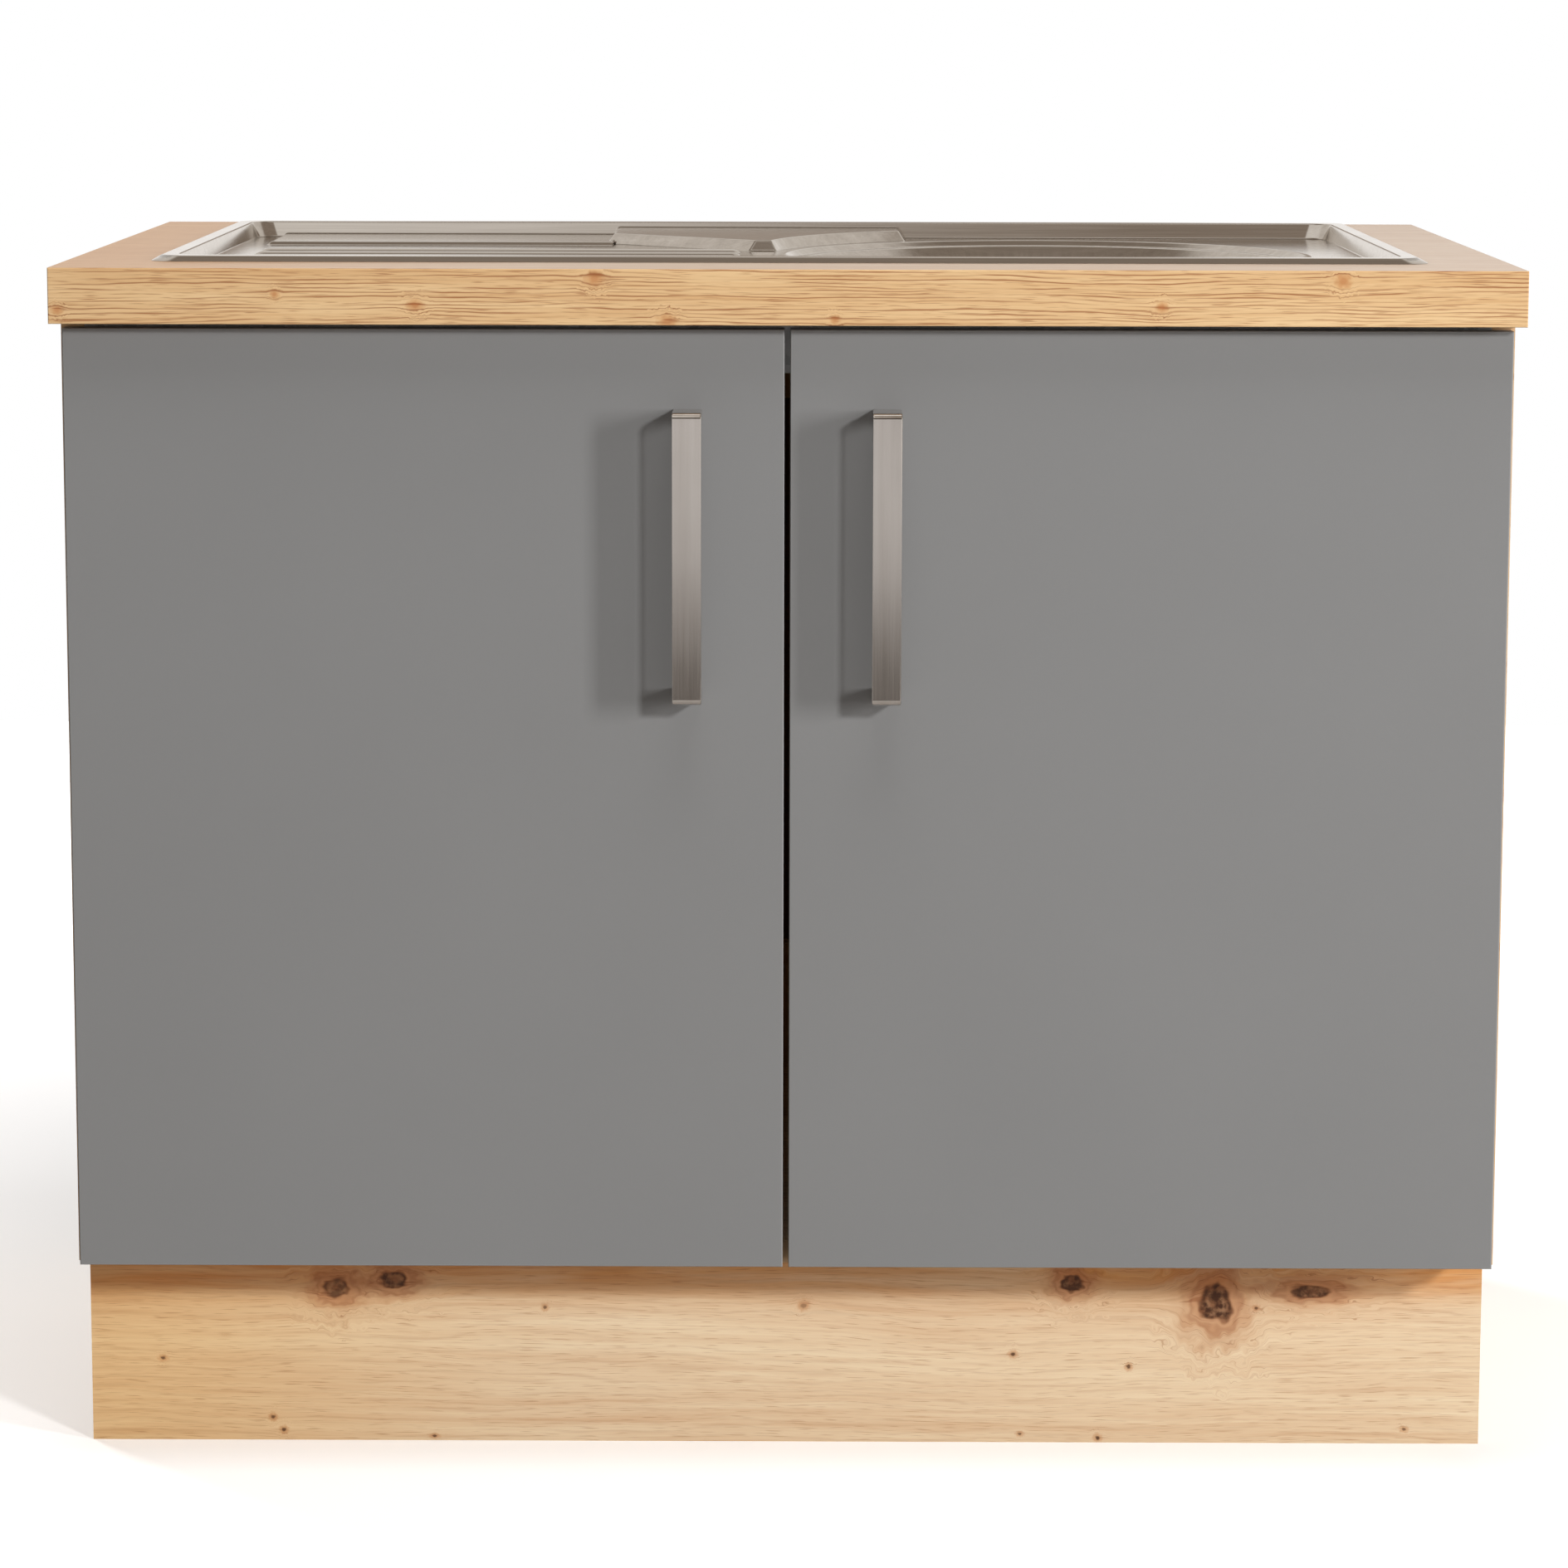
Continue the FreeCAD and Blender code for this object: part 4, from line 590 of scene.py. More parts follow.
    def set_knot(
        self,
        shader: Shader,
        knot: Knot,
        reach: Value,
        at: tuple[Value, Value],
        so_far: tuple[bpy.types.NodeSocket, Value],
    ) -> tuple[bpy.types.NodeSocket, Value]:
        """Draw one knot over the oak: a brown ringed rim and a dark heart.

        Args:
            shader: The shader.
            knot: The knot.
            reach: The distance from its heart, 1 at its rim.
            at: The point along and across the grain.
            so_far: The colour and the height before the knot.

        Returns:
            The colour and the height with the knot.
        """
        colour, shade = so_far
        if knot.open_heart:
            ripple = ((reach * RIPPLE_RADIANS).wave() * 0.5 + 0.5) * reach.ease(*RIPPLES) * 0.45
            colour = shader.blend(ripple, colour, self.line, "MULTIPLY")
            stain = reach.ease(*RED_STAIN) * 0.55
            colour = shader.blend(stain, colour, KNOT_STAIN, "MULTIPLY")
            grit = shader.noise(shader.point(*at, GRIT_APART), GRIT_PER_METRE, 3.0).ease(*GRIT_CUT)
            heart = reach.ease(*OPEN_HEART) * (grit * 0.5 + 0.5) * knot.dark
        else:
            halo = reach.ease(*HALO) * 0.5
            colour = shader.blend(halo, colour, KNOT_HALO, "MULTIPLY")
            heart = reach.ease(*CLOSED_HEART) * knot.dark
        colour = shader.blend(heart, colour, self.heart)
        return colour, shade - heart * 0.8


@dataclass(frozen=True)
class MatteLaminate(Finish):
    """Matte laminate with a very fine stipple and a faint cloudiness."""

    body: Colour
    dark: Colour
    roughness: float = 0.5
    clouds_per_metre: float = 6.0
    specks_per_metre: float = 2600.0
    bumps_per_metre: float = 1500.0
    bump_height: float = 0.00006

    def make(self) -> bpy.types.Material:
        """Make the laminate.

        Returns:
            The material.
        """
        shader = Shader(self.name)
        point = shader.point(*shader.place())
        cloud = shader.noise(point, self.clouds_per_metre, 2.0)
        speck = shader.noise(point, self.specks_per_metre, 1.0)
        colour = shader.ramp(cloud * 0.25 + speck * 0.75, [(0.3, self.dark), (0.65, self.body)])
        stipple = shader.noise(point, self.bumps_per_metre, 2.0)
        shader.relief(stipple, self.bump_height, 0.5)
        rough = self.roughness + (cloud - 0.5) * 0.05 + (stipple - 0.5) * 0.1
        return shader.finish(Base_Color=colour, Roughness=rough, Specular_IOR_Level=0.4)


@dataclass(frozen=True)
class BrushedSteel(Finish):
    """Stainless sheet brushed one way, with soft handling marks.

    A sheet with a bowl says where the middle of the bowl's rim is. Its wall is streaked from top to bottom.
    """

    run: Run
    bright: Colour = paint(214, 208, 201)
    dull: Colour = paint(192, 185, 177)
    roughness: float = 0.15
    streak: float = 0.06
    bowl: Point | None = None
    wall_starts_within: float = 0.012
    streaks_per_radian: float = 46.0
    smudges_per_metre: float = 14.0
    brushing_depth: float = 0.00001

    def make(self) -> bpy.types.Material:
        """Make the brushed steel.

        Returns:
            The material.
        """
        shader = Shader(self.name)
        places = shader.place()
        along, across, depth = (places[axis] for axis in self.run.value)
        brush = FINE_BRUSHING.over(shader, along, across, depth)
        broad = BROAD_BRUSHING.over(shader, along, across, depth)
        if self.bowl is not None:
            drawn = self.drawn_wall(shader, places)
            inside = places[2].ease(self.bowl[2], self.bowl[2] - self.wall_starts_within)
            brush = brush + (drawn - brush) * inside
            broad = broad + (drawn - broad) * inside
        smudge = shader.noise(shader.point(*places), self.smudges_per_metre, 3.0)
        tone = brush * 0.4 + broad * 0.6
        colour = shader.ramp(tone, [(0.3, self.dull), (0.7, self.bright)])
        rough = self.roughness + (brush - 0.5) * self.streak + (smudge - 0.5) * 0.06
        shader.relief(broad + brush * 0.4, self.brushing_depth, 0.2)
        return shader.finish(Base_Color=colour, Metallic=1.0, Roughness=rough)

    def drawn_wall(self, shader: Shader, places: list[Value]) -> Value:
        """The upright streaks that drawing leaves on the bowl's wall.

        Args:
            shader: The shader.
            places: The point on the piece.

        Returns:
            The streaks, 0 to 1.
        """
        turn = shader.sum_of("ARCTAN2", places[1] - self.bowl[1], places[0] - self.bowl[0])
        return shader.noise(shader.point(turn * self.streaks_per_radian, places[2] * 3.0, 0.0), 1.0, 3.0)


@dataclass(frozen=True)
class PlatedMetal(Finish):
    """Plated steel or zinc: faint crystals or casting grain, and cloudy gloss."""

    bright: Colour
    dull: Colour
    roughness: float
    crystals_per_metre: float
    grit_height: float = 0.00003
    grit_per_metre: float = 1800.0
    clouds_per_metre: float = 38.0
    metallic: float = 0.78

    def make(self) -> bpy.types.Material:
        """Make the plated metal.

        Returns:
            The material.
        """
        shader = Shader(self.name)
        point = shader.point(*shader.place())
        crystal = shader.cells(point, self.crystals_per_metre).outputs["Color"]
        patch = Value(shader, shader.node("ShaderNodeSeparateColor", {}, {0: crystal}).outputs[0])
        cloud = shader.noise(point, self.clouds_per_metre, 3.0)
        grit = shader.noise(point, self.grit_per_metre, 2.0)
        tone = patch * 0.35 + cloud * 0.65
        colour = shader.ramp(tone, [(0.25, self.dull), (0.7, self.bright)])
        rough = self.roughness + (cloud - 0.5) * 0.2 + (patch - 0.5) * 0.06
        shader.relief(grit, self.grit_height, 0.5)
        return shader.finish(Base_Color=colour, Metallic=self.metallic, Roughness=rough)


@dataclass(frozen=True)
class MouldedPlastic(Finish):
    """Moulded plastic with a fine skin, slightly cloudy."""

    body: Colour
    dark: Colour
    roughness: float
    bumps_per_metre: float = 700.0
    clear: float = 0.0
    clouds_per_metre: float = 26.0
    bump_height: float = 0.00008

    def make(self) -> bpy.types.Material:
        """Make the plastic.

        Returns:
            The material.
        """
        shader = Shader(self.name)
        point = shader.point(*shader.place())
        cloud = shader.noise(point, self.clouds_per_metre, 3.0)
        skin = shader.noise(point, self.bumps_per_metre, 3.0)
        colour = shader.ramp(cloud * 0.6 + skin * 0.4, [(0.3, self.dark), (0.62, self.body)])
        shader.relief(skin, self.bump_height, 0.4)
        rough = self.roughness + (skin - 0.5) * 0.12 + (cloud - 0.5) * 0.1
        return shader.finish(Base_Color=colour, Roughness=rough, Transmission_Weight=self.clear)


@dataclass(frozen=True)
class CellFoam(Finish):
    """Closed-cell foam strip: small cells with raised walls."""

    body: Colour
    dark: Colour
    cells_per_metre: float = 1300.0
    wall_height: float = 0.0002

    def make(self) -> bpy.types.Material:
        """Make the foam.

        Returns:
            The material.
        """
        shader = Shader(self.name)
        point = shader.point(*shader.place())
        cell = Value(shader, shader.cells(point, self.cells_per_metre).outputs["Distance"])
        colour = shader.ramp(cell, [(0.1, self.dark), (0.7, self.body)])
        shader.relief(cell, self.wall_height, 0.8)
        return shader.finish(Base_Color=colour, Roughness=cell * 0.15 + 0.75)


@dataclass(frozen=True)
class Hardboard(Finish):
    """Thin brown fibre board: pressed fibres, smooth on its face."""

    body: Colour
    dark: Colour
    clouds_per_metre: float = 12.0
    flecks_per_metre: float = 700.0
    fibre_height: float = 0.00012

    def make(self) -> bpy.types.Material:
        """Make the hardboard.

        Returns:
            The material.
        """
        shader = Shader(self.name)
        x, y, z = shader.place()
        point = shader.point(x, y, z)
        cloud = shader.noise(point, self.clouds_per_metre, 3.0)
        fibre = shader.noise(shader.point(x * 260.0, y * 260.0, z * 420.0), 1.0, 3.0, 2.0)
        fleck = shader.noise(point, self.flecks_per_metre, 1.0).ease(*BOARD_CUT)
        colour = shader.ramp(cloud * 0.4 + fibre * 0.6, [(0.3, self.dark), (0.7, self.body)])
        colour = shader.blend(fleck * 0.4, colour, BOARD_FLECK)
        shader.relief(fibre, self.fibre_height, 0.5)
        return shader.finish(Base_Color=colour, Roughness=0.5 + fibre * 0.16)


@dataclass(frozen=True)
class TurnedBeech(Finish):
    """Raw beech with short brown flecks along its grain."""

    grain_height: float = 0.00015

    def make(self) -> bpy.types.Material:
        """Make the beech.

        Returns:
            The material.
        """
        shader = Shader(self.name)
        x, y, z = shader.place()
        broad = BEECH_TONE.over(shader, x, y, z)
        fleck = BEECH_FLECKS.over(shader, x, y, z).ease(*BEECH_CUT)
        colour = shader.ramp(broad, [(0.3, BEECH_DARK), (0.7, BEECH_PALE)])
        colour = shader.blend(fleck * 0.5, colour, BEECH_FLECK, "MULTIPLY")
        shader.relief(broad, self.grain_height, 0.6)
        return shader.finish(Base_Color=colour, Roughness=0.62 + fleck * 0.1)


# The knots of each board: along it from its middle, and up from the floor, in metres.
WORKTOP_KNOTS = (
    Knot(-0.4938, 0.8214, 0.0022, 0.0018, 0.25),
    Knot(-0.3465, 0.8324, 0.0016, 0.0016, 0.30),
    Knot(-0.2518, 0.8252, 0.0030, 0.0024, 0.40),
    Knot(-0.1300, 0.8437, 0.0032, 0.0030, 0.30),
    Knot(-0.0813, 0.8146, 0.0034, 0.0026, 0.25),
    Knot(0.0320, 0.8162, 0.0018, 0.0018, 0.25),
    Knot(0.2530, 0.8252, 0.0024, 0.0020, 0.40),
    Knot(0.3748, 0.8431, 0.0030, 0.0028, 0.30),
)
PLINTH_KNOTS = (
    Knot(-0.3226, 0.1130, 0.0095, 0.0075, 0.75, True),
    Knot(-0.2813, 0.1190, 0.0100, 0.0060, 0.95, True),
    Knot(0.0130, 0.1010, 0.0026, 0.0022, 0.45),
    Knot(0.2050, 0.1180, 0.0080, 0.0065, 0.95, True),
    Knot(0.3085, 0.1035, 0.0115, 0.0130, 1.0, True),
    Knot(0.3765, 0.1125, 0.0150, 0.0050, 0.95, True),
    Knot(-0.4477, 0.0608, 0.0020, 0.0014, 0.8),
    Knot(-0.3692, 0.0171, 0.0017, 0.0017, 0.8),
    Knot(-0.3615, 0.0077, 0.0018, 0.0018, 0.85),
    Knot(-0.2530, 0.0032, 0.0020, 0.0012, 0.8),
    Knot(-0.1728, 0.0991, 0.0016, 0.0016, 0.7),
    Knot(0.1635, 0.0655, 0.0020, 0.0018, 0.85),
    Knot(0.2467, 0.0566, 0.0017, 0.0018, 0.8),
    Knot(0.1688, 0.0062, 0.0017, 0.0012, 0.7),
    Knot(0.2249, 0.0034, 0.0018, 0.0018, 0.9),
    Knot(0.3376, 0.1003, 0.0016, 0.0014, 0.8),
    Knot(0.4455, 0.0106, 0.0018, 0.0014, 0.7),
)
SINK_BOWL: Point = (0.191, 0.0165, 0.838)
# Where the painted shade of the doors starts on the plinth, up from the floor in metres.
PLINTH_PAINTED_SHADE_FROM = 0.092
BROWN_LINE = paint(176, 122, 80)
FINISHES: dict[str, Finish] = {
    "worktop_oak": OakDecor(
        "oak worktop", Run.TOP, paint(213, 193, 174), paint(196, 166, 140), BROWN_LINE,
        # The warm left end of the worktop's top is a painted reflection.
        line_gap=0.010, line_share=0.22, dash_share=0.35, warm_end=paint(240, 200, 140), seed=3.0,
        roughness=0.33,
    ),
    "worktop_edge_oak": OakDecor(
        "oak edge band", Run.FRONT, paint(229, 197, 151), paint(200, 152, 101), paint(162, 104, 64),
        heart=paint(176, 104, 58), knots=WORKTOP_KNOTS, line_gap=0.0027, line_share=0.8, dash_share=0.65,
        sway=0.008, seed=11.0,
    ),
    "plinth_oak": OakDecor(
        "oak plinth", Run.FRONT, paint(240, 218, 184), paint(216, 176, 136), BROWN_LINE,
        knots=PLINTH_KNOTS, line_gap=0.0065, line_share=0.17, dash_share=0.45, sway=0.016,
        # The plinth's top gets a band of painted shade from the doors.
        warm_end=paint(250, 226, 184), painted_shade_above=PLINTH_PAINTED_SHADE_FROM, seed=5.0,
    ),
    "carcass_oak": OakDecor(
        "oak carcass", Run.SIDE, paint(224, 192, 152), paint(204, 160, 114), BROWN_LINE,
        line_gap=0.012, line_share=0.3, dash_share=0.35, sway=0.02, seed=8.0,
    ),
    "beech_dowel": TurnedBeech("turned beech"),
    "door_grey": MatteLaminate("grey laminate", paint(134, 134, 134), paint(128, 128, 128)),
    "door_band_grey": MatteLaminate(
        "grey edge band", paint(142, 142, 142), paint(134, 134, 134), roughness=0.4,
    ),
    "sink_steel": BrushedSteel("brushed sink steel", Run.TOP, bowl=SINK_BOWL),
    "handle_steel": BrushedSteel(
        "brushed handle steel", Run.UPRIGHT, paint(222, 216, 210), paint(208, 201, 194),
        roughness=0.10, streak=0.05,
    ),
    "zinc_steel": PlatedMetal("zinc sheet", paint(206, 208, 210), paint(164, 167, 170), 0.34, 140.0),
    "screw_steel": PlatedMetal("zinc screws", paint(214, 212, 206), paint(168, 166, 160), 0.28, 900.0),
    "cam_zinc": PlatedMetal(
        "cast zinc", paint(176, 177, 178), paint(130, 131, 133), 0.42, 500.0, grit_height=0.0001,
    ),
    "hinge_nickel": PlatedMetal("nickel plate", paint(214, 210, 202), paint(180, 176, 168), 0.2, 320.0),
    "waste_plastic": MouldedPlastic("white plastic", paint(236, 236, 233), paint(222, 222, 218), 0.34),
    "seal_rubber": MouldedPlastic(
        "black rubber", paint(46, 46, 47), paint(30, 30, 31), 0.62, bumps_per_metre=1400.0,
    ),
    "foam_seal": CellFoam("foam strip", paint(82, 82, 84), paint(48, 48, 50)),
    "bumper_clear": MouldedPlastic(
        "clear pad", paint(226, 228, 228), paint(206, 209, 210), 0.22, bumps_per_metre=400.0, clear=0.6,
    ),
    "glide_plastic": MouldedPlastic("brown plastic", paint(92, 74, 60), paint(70, 56, 46), 0.5),
    "back_hardboard": Hardboard("brown hardboard", paint(124, 88, 60), paint(98, 68, 46)),
}


class Palette:
    """The materials made so far, each made once."""

    def __init__(self) -> None:
        """Start with no material made."""
        self.made: dict[str, bpy.types.Material] = {}

    def dress(self, piece: bpy.types.Object, slot: str) -> None:
        """Give a piece the finish of a slot.

        Args:
            piece: The piece.
            slot: The record's slot.
        """
        if slot not in self.made:
            self.made[slot] = FINISHES[slot].make()
        if not piece.data.materials:
            piece.data.materials.append(self.made[slot])
        for held in piece.material_slots:
            held.material = self.made[slot]
        LOG.info("dressed %s in %s", piece.name, FINISHES[slot].name)


# ------------------------------------------------------------------ shaping
HANDLE_ROUNDING = 0.0009
SINK_ROUNDING = 0.0012
WASTE_ROUNDING = 0.0006


def deselect_all() -> None:
    """Deselect every object, so that an operator acts only on what is picked next."""
    if bpy.context.mode != "OBJECT":
        bpy.ops.object.mode_set(mode="OBJECT")
    bpy.ops.object.select_all(action="DESELECT")


def pick(piece: bpy.types.Object) -> None:
    """Select one piece alone and make it active.

    Args:
        piece: The piece.
    """
    deselect_all()
    piece.select_set(True)
    bpy.context.view_layer.objects.active = piece


@dataclass
class SoftPiece:
    """A piece that takes a CAD node's place, with its edges rounded as pressed or moulded ones are.

    Lengths are in metres and angles in degrees.
    """

    node: str
    body: str
    slot: str
    radius: float
    segments: int = 3
    sharp: float = 28.0
    merged_within: float = 0.00001
    flat_within: float = 0.5
    smooth_within: float = 32.0
    flat_weight: int = 60
    made: bpy.types.Object | None = None

    def build(self) -> None:
        """Copy the node's mesh, merge it, round its edges and put it in the node's place."""
        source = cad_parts[self.node]
        piece = bpy.data.objects.new(f"{self.node}_soft", source.data.copy())
        bpy.context.scene.collection.objects.link(piece)
        pick(piece)
        self.merge()
        if piece.data.has_custom_normals:
            bpy.ops.mesh.customdata_custom_splitnormals_clear()
        self.round_edges(piece)
        self.shade(piece)
        self.made = piece
        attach(piece, self.body)
        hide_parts(self.node)
        LOG.info("built %s with %d faces", piece.name, len(piece.data.polygons))

    def merge(self) -> None:
        """Merge the picked piece's doubled points, and its facets that lie in one plane."""
        bpy.ops.object.mode_set(mode="EDIT")
        bpy.ops.mesh.select_all(action="SELECT")
        bpy.ops.mesh.remove_doubles(threshold=self.merged_within)
        bpy.ops.mesh.dissolve_limited(angle_limit=math.radians(self.flat_within))
        bpy.ops.object.mode_set(mode="OBJECT")

    def round_edges(self, piece: bpy.types.Object) -> None:
        """Round the sharp edges.

        Args:
            piece: The picked piece.
        """
        bevel = piece.modifiers.new("rounding", "BEVEL")
        bevel.width = self.radius
        bevel.segments = self.segments
        bevel.limit_method = "ANGLE"
        bevel.angle_limit = math.radians(self.sharp)
        bevel.use_clamp_overlap = False
        bevel.miter_outer = "MITER_ARC"
        bpy.ops.object.modifier_apply(modifier=bevel.name)

    def shade(self, piece: bpy.types.Object) -> None:
        """Shade the rounded edges smooth and the faces between them flat.

        Args:
            piece: The picked piece.
        """
        bpy.ops.object.shade_smooth_by_angle(angle=math.radians(self.smooth_within))
        flats = piece.modifiers.new("flat_faces", "WEIGHTED_NORMAL")
        flats.weight = self.flat_weight
        flats.keep_sharp = True
        bpy.ops.object.modifier_apply(modifier=flats.name)


# ------------------------------------------------------------------ sub-assemblies
def same_slot(names: tuple[str, ...], slot: str) -> dict[str, str]:
    """Give several nodes one slot."""
    return {name: slot for name in names}


@dataclass
class Assembly:
    """CAD nodes dressed in their finishes, and the pieces made anew for them."""

    nodes: dict[str, str]
    soft: list[SoftPiece] = field(default_factory=list)

    def build(self) -> None:
        """Make the pieces that stand for CAD nodes."""
        for piece in self.soft:
            piece.build()

    def dress(self, palette: Palette) -> None:
        """Give each node and each new piece its finish.

        Args:
            palette: The materials.
        """
        for name, slot in self.nodes.items():
            palette.dress(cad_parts[name], slot)
        for piece in self.soft:
            palette.dress(piece.made, piece.slot)


class Worktop(Assembly):
    """The oak worktop with its edge bands."""

    def __init__(self) -> None:
        """List the worktop's nodes."""
        super().__init__({
            "worktop": "worktop_oak",
            "worktop_front_band": "worktop_edge_oak",
            "worktop_end_bands": "worktop_oak",
        })


class Cabinet(Assembly):
    """The carcass boards, the plinth, their fittings and the glides."""

    def __init__(self) -> None:
        """List the cabinet's nodes."""
        boards = ("left_side_panel", "right_side_panel", "bottom_panel", "rear_bottom_rail",
                  "rear_top_rail", "carcass_edge_bands")
        fittings = ("front_rail", "worktop_brackets", "plinth_brackets", "cam_bolts")
        screws = ("front_rail_screws", "worktop_bracket_screws", "plinth_bracket_screws",
                  "back_panel_screws")
        super().__init__({
            **same_slot(boards, "carcass_oak"),
            **same_slot(fittings, "zinc_steel"),
            **same_slot(screws, "screw_steel"),
            "back_panel": "back_hardboard",
            "plinth_board": "plinth_oak",
            "wood_dowels": "beech_dowel",
            "cam_discs": "cam_zinc",
            "floor_glides": "glide_plastic",
        })


class Door(Assembly):
    """One door with its handle, pads and hinge halves."""

    def __init__(self, side: str) -> None:
        """List one door's nodes.

        Args:
            side: "left" or "right".
        """
        hinges = ("hinge_cups", "hinge_pins", "hinge_arms", "mounting_plates")
        screws = ("handle_screws", "cup_screws", "plate_screws")
        slots = {
            "door_panel": "door_grey",
            "door_bands": "door_band_grey",
            "door_bumpers": "bumper_clear",
            **same_slot(hinges, "hinge_nickel"),
            **same_slot(screws, "screw_steel"),
        }
        handle = SoftPiece(f"{side}_handle", f"{side}_door", "handle_steel", HANDLE_ROUNDING)
        super().__init__({f"{side}_{name}": slot for name, slot in slots.items()}, [handle])


class Sink(Assembly):
    """The pressed sink, its seal and its clamps."""

    def __init__(self) -> None:
        """List the sink's nodes."""
        nodes = {"sink_seal": "foam_seal", "sink_clamps": "zinc_steel", "sink_clamp_screws": "screw_steel"}
        super().__init__(nodes, [SoftPiece("sink", "carcass", "sink_steel", SINK_ROUNDING)])


class WasteSet(Assembly):
    """The strainer, its basket and the bottle trap."""

    def __init__(self) -> None:
        """List the waste set's nodes."""
        moulded = ("waste_body", "inlet_nut", "inlet_pipe", "trap_body", "trap_cup", "outlet_nut",
                   "outlet_pipe")
        nodes = {
            "strainer_seal": "seal_rubber",
            "strainer_flange": "sink_steel",
            "strainer_basket": "sink_steel",
        }
        soft = [SoftPiece(name, "carcass", "waste_plastic", WASTE_ROUNDING, 2) for name in moulded]
        super().__init__(nodes, soft)


# ------------------------------------------------------------------ studio
@dataclass(frozen=True)
class SoftLight:
    """A soft light that looks at a point of the unit."""

    name: str
    place: Point
    target: Point
    width: float
    height: float
    watts: float

    def build(self) -> None:
        """Hang the light, unseen by the steel, which mirrors only the surround."""
        deselect_all()
        bpy.ops.object.light_add(type="AREA", location=self.place)
        light = bpy.context.object
        light.name = self.name
        light.data.energy = self.watts
        light.data.shape = "RECTANGLE"
        light.data.size = self.width
        light.data.size_y = self.height
        light.visible_glossy = False
        way = Vector(self.target) - Vector(self.place)
        light.rotation_euler = way.to_track_quat("-Z", "Y").to_euler()


@dataclass(frozen=True)
class Surround:
    """White to the camera, and to the steel a dim room with brighter walls, a window and a lamp.

    A Change says where a part of the room starts to show and where it shows in full, as one axis of the way
    that is looked, from -1 to 1: x to the right, y to the back and z up.
    """

    white: Colour = grey(1.0)
    dim: Colour = (0.085, 0.070, 0.058, 1.0)
    ceiling: Colour = (0.27, 0.225, 0.185, 1.0)
    ceiling_foot: Change = (0.74, 0.86)
    back_wall: Colour = (0.74, 0.70, 0.65, 1.0)
    back_wall_foot: Change = (0.14, 0.30)
    back_middle: Colour = (0.34, 0.28, 0.23, 1.0)
    back_sides: Colour = (1.00, 0.97, 0.94, 1.0)
    left_side: Change = (-0.03, -0.10)
    right_side: Change = (0.07, 0.11)
    front_half: Change = (0.10, -0.12)
    front_foot: Change = (0.22, 0.50)
    front_left: Colour = (0.86, 0.83, 0.79, 1.0)
    front_right: Colour = (0.30, 0.245, 0.20, 1.0)
    front_left_end: Change = (0.05, -0.06)
    front_band: Colour = (0.71, 0.69, 0.68, 1.0)
    front_band_foot: Change = (-0.152, -0.122)
    front_band_top: Change = (-0.06, -0.085)
    window: Colour = (1.5, 1.47, 1.43, 1.0)
    window_side: Change = (0.78, 0.85)
    window_foot: Change = (-0.13, -0.08)
    window_top: Change = (0.40, 0.25)
    lamp: Colour = (1.15, 1.12, 1.08, 1.0)
    lamp_edge: Change = (0.90, 0.96)
    lamp_front: Change = (-0.04, -0.16)

    def build(self) -> None:
        """Make the world and choose what each kind of ray sees of it."""
        world = bpy.data.worlds.new("white surround")
        world.use_nodes = True
        nodes = Nodes(world.node_tree)
        x, y, z = nodes.place("Generated")
        behind = self.back_of_room(nodes, x, z)
        before = self.front_of_room(nodes, x, z)
        colour = nodes.blend(y.ease(*self.front_half), behind, before)
        colour = nodes.blend(z.ease(*self.ceiling_foot), colour, self.ceiling)
        overhead = z.ease(*self.lamp_edge) * y.ease(*self.lamp_front)
        colour = nodes.blend(overhead, colour, self.lamp)
        ray = nodes.node("ShaderNodeLightPath", {}, {}).outputs
        colour = nodes.blend(ray["Is Diffuse Ray"], colour, self.dim)
        colour = nodes.blend(ray["Is Camera Ray"], colour, self.white)
        nodes.feed(world.node_tree.nodes["Background"].inputs["Color"], colour)
        bpy.context.scene.world = world

    def back_of_room(self, nodes: Nodes, x: Value, z: Value) -> bpy.types.NodeSocket:
        """A wall over a low strip, which is darker in its middle.

        Args:
            nodes: The world's nodes.
            x, z: The way that is looked, to the right and up.

        Returns:
            The colour's output.
        """
        sides = x.ease(*self.left_side).most(x.ease(*self.right_side))
        low = nodes.blend(sides, self.back_middle, self.back_sides)
        return nodes.blend(z.ease(*self.back_wall_foot), low, self.back_wall)

    def front_of_room(self, nodes: Nodes, x: Value, z: Value) -> bpy.types.NodeSocket:
        """A low band in the dark, a wall that is bright on the left, and a window on the right.

        Args:
            nodes: The world's nodes.
            x, z: The way that is looked, to the right and up.

        Returns:
            The colour's output.
        """
        in_band = z.ease(*self.front_band_foot) * z.ease(*self.front_band_top)
        low = nodes.blend(in_band, self.dim, self.front_band)
        high = nodes.blend(x.ease(*self.front_left_end), self.front_right, self.front_left)
        wall = nodes.blend(z.ease(*self.front_foot), low, high)
        in_window = x.ease(*self.window_side) * z.ease(*self.window_foot) * z.ease(*self.window_top)
        return nodes.blend(in_window, wall, self.window)


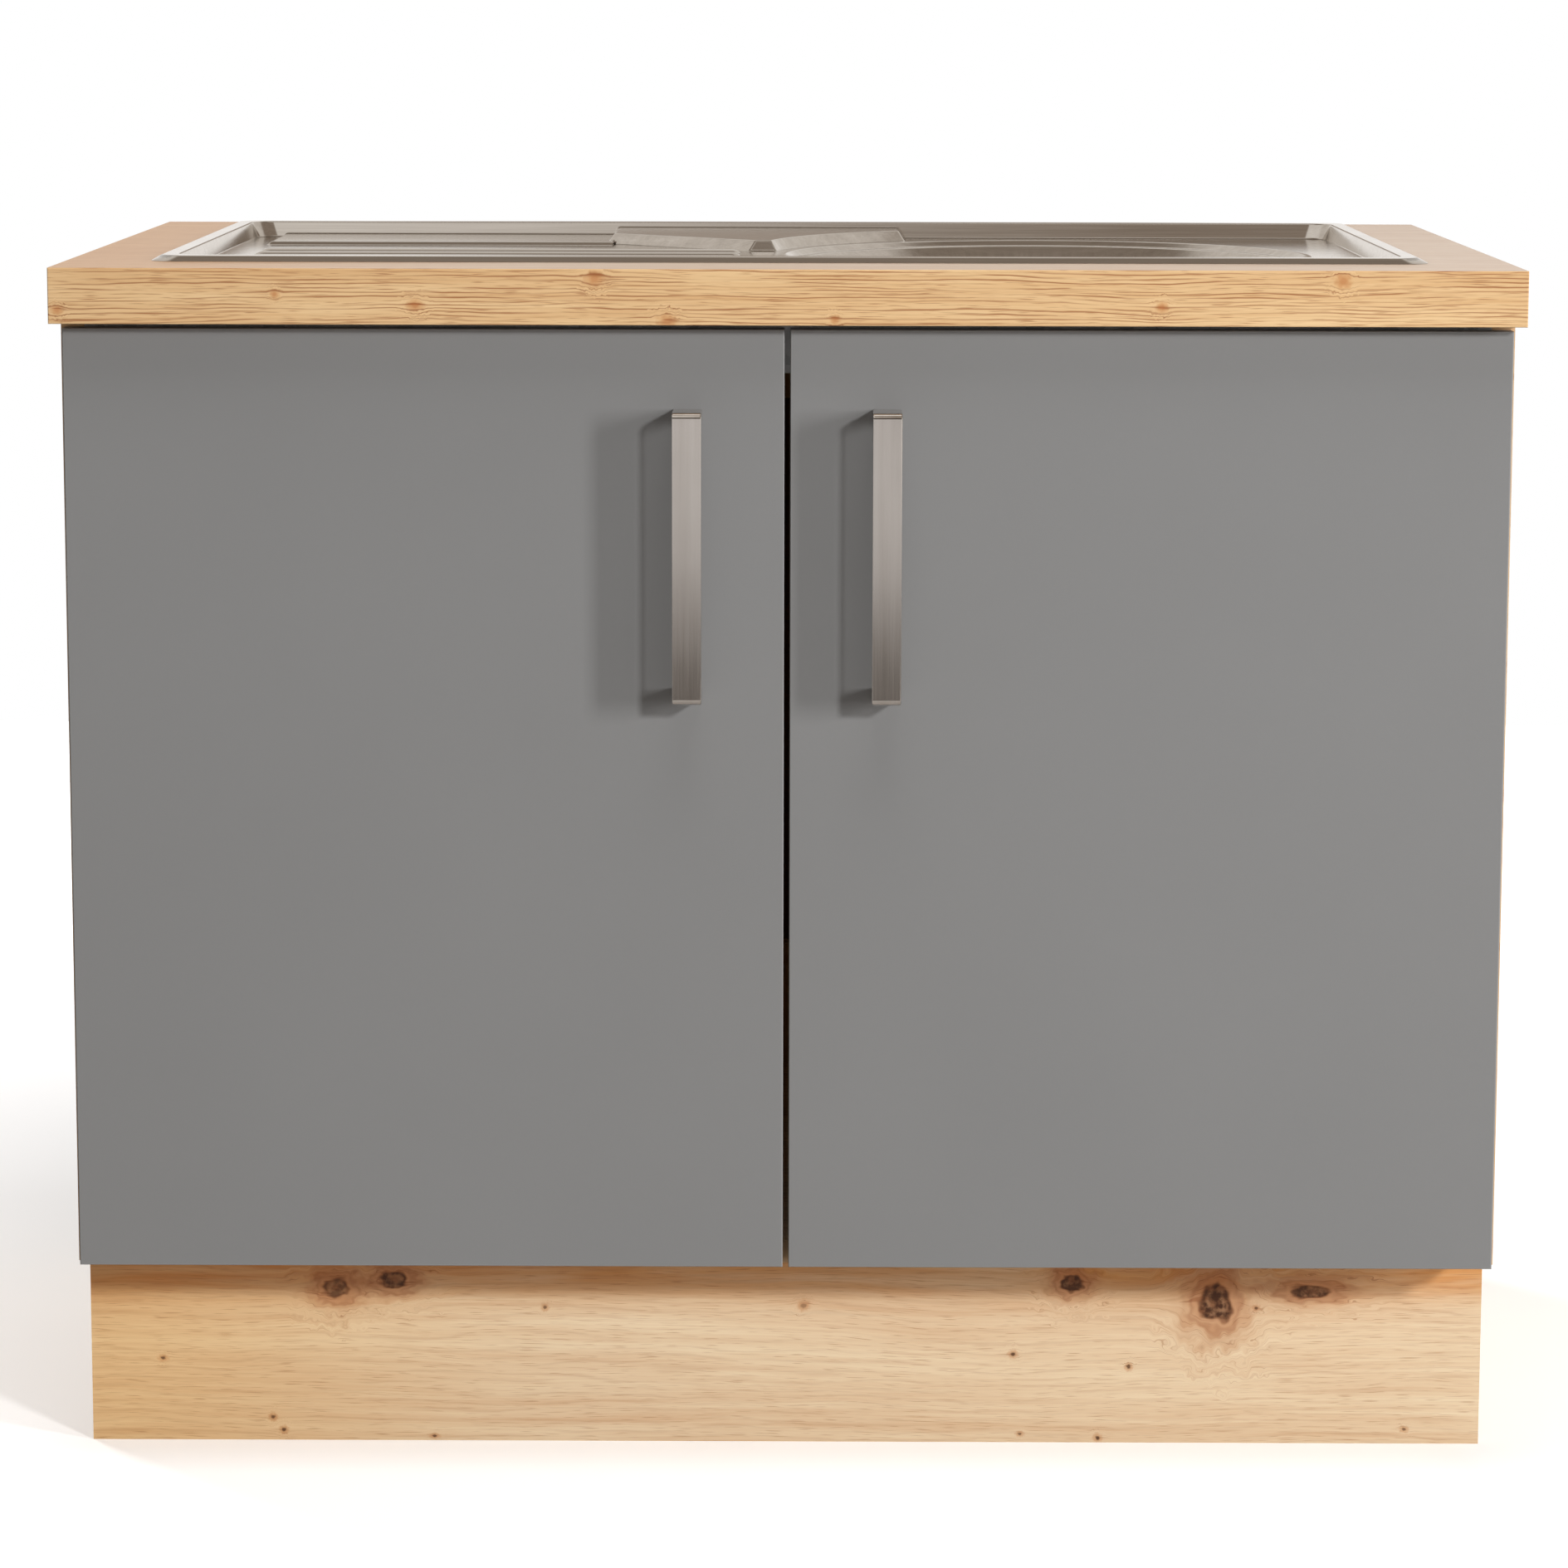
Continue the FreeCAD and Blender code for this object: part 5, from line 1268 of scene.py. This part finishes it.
@dataclass(frozen=True)
class Floor:
    """A pale floor that glows to white towards its edge, for the camera; other rays meet a dull one.

    The side is in metres. The glow spreads between two distances from the middle, given as their squares.
    """

    side: float = 6.0
    dark: Colour = grey(0.86)
    pale: Colour = grey(0.89)
    glow_near: Colour = grey(0.34)
    glow_far: Colour = grey(0.85)
    glow_spread: Change = (0.5, 4.0)
    unseen: Colour = (0.42, 0.40, 0.38, 1.0)
    unseen_glow: Colour = grey(0.02)

    def build(self) -> None:
        """Lay the floor."""
        deselect_all()
        bpy.ops.mesh.primitive_plane_add(size=self.side)
        floor = bpy.context.object
        floor.name = "studio_floor"
        shader = Shader("pale floor")
        x, y, z = shader.place()
        mottle = shader.noise(shader.point(x, y, z), 3.0, 3.0)
        colour = shader.ramp(mottle, [(0.3, self.dark), (0.7, self.pale)])
        far = (x * x + y * y).ease(*self.glow_spread)
        glow = shader.ramp(far, [(0.0, self.glow_near), (1.0, self.glow_far)])
        seen = shader.node("ShaderNodeLightPath", {}, {}).outputs["Is Camera Ray"]
        floor.data.materials.append(shader.finish(
            Base_Color=shader.blend(seen, self.unseen, colour),
            Roughness=0.9,
            Specular_IOR_Level=0.0,
            Emission_Color=shader.blend(seen, self.unseen_glow, glow),
            Emission_Strength=1.0,
        ))


@dataclass(frozen=True)
class Camera:
    """The camera at the angle of the photograph.

    Its place is in metres, down in degrees, yaw and roll in radians, lens and sensor in millimetres, and the
    shift in widths of the picture.
    """

    place: Point = (0.010, -3.3481, 1.0405)
    down: float = 7.89
    yaw: float = 0.0039
    roll: float = 0.0022
    lens: float = 103.9
    sensor: float = 36.0
    shift: float = -0.11

    def build(self) -> None:
        """Place the camera and make it the one that is used."""
        deselect_all()
        bpy.ops.object.camera_add(location=self.place)
        camera = bpy.context.object
        camera.name = "photo_camera"
        turn = (
            Matrix.Rotation(self.yaw, 4, "Z")
            @ Matrix.Rotation(math.radians(90 - self.down), 4, "X")
            @ Matrix.Rotation(self.roll, 4, "Z")
        )
        camera.matrix_world = Matrix.Translation(Vector(self.place)) @ turn
        camera.data.lens = self.lens
        camera.data.sensor_width = self.sensor
        camera.data.shift_y = self.shift
        bpy.context.scene.camera = camera
        bpy.context.scene.view_settings.view_transform = "Standard"


STUDIO = (
    Floor(),
    Surround(),
    SoftLight("side_light", (6.90, -4.00, 1.85), (0.0, -0.28, 0.60), 0.7, 2.4, 400.0),
    SoftLight("front_light", (3.60, -5.00, 2.75), (0.0, -0.28, 0.55), 0.6, 0.6, 232.0),
    SoftLight("overhead_light", (0.20, -0.95, 3.60), (0.0, -0.10, 0.85), 1.4, 1.4, 42.0),
    SoftLight("rear_light", (-4.20, 4.40, 3.00), (0.0, 0.0, 0.50), 1.6, 1.6, 260.0),
    Camera(),
)


def main() -> None:
    """Build and dress each sub-assembly in order, then the studio."""
    logging.basicConfig(level=logging.INFO, format="%(name)s: %(message)s")
    palette = Palette()
    for part in (Cabinet(), Worktop(), Door("left"), Door("right"), Sink(), WasteSet()):
        part.build()
        part.dress(palette)
    for fixture in STUDIO:
        fixture.build()


if __name__ == "__main__":
    main()
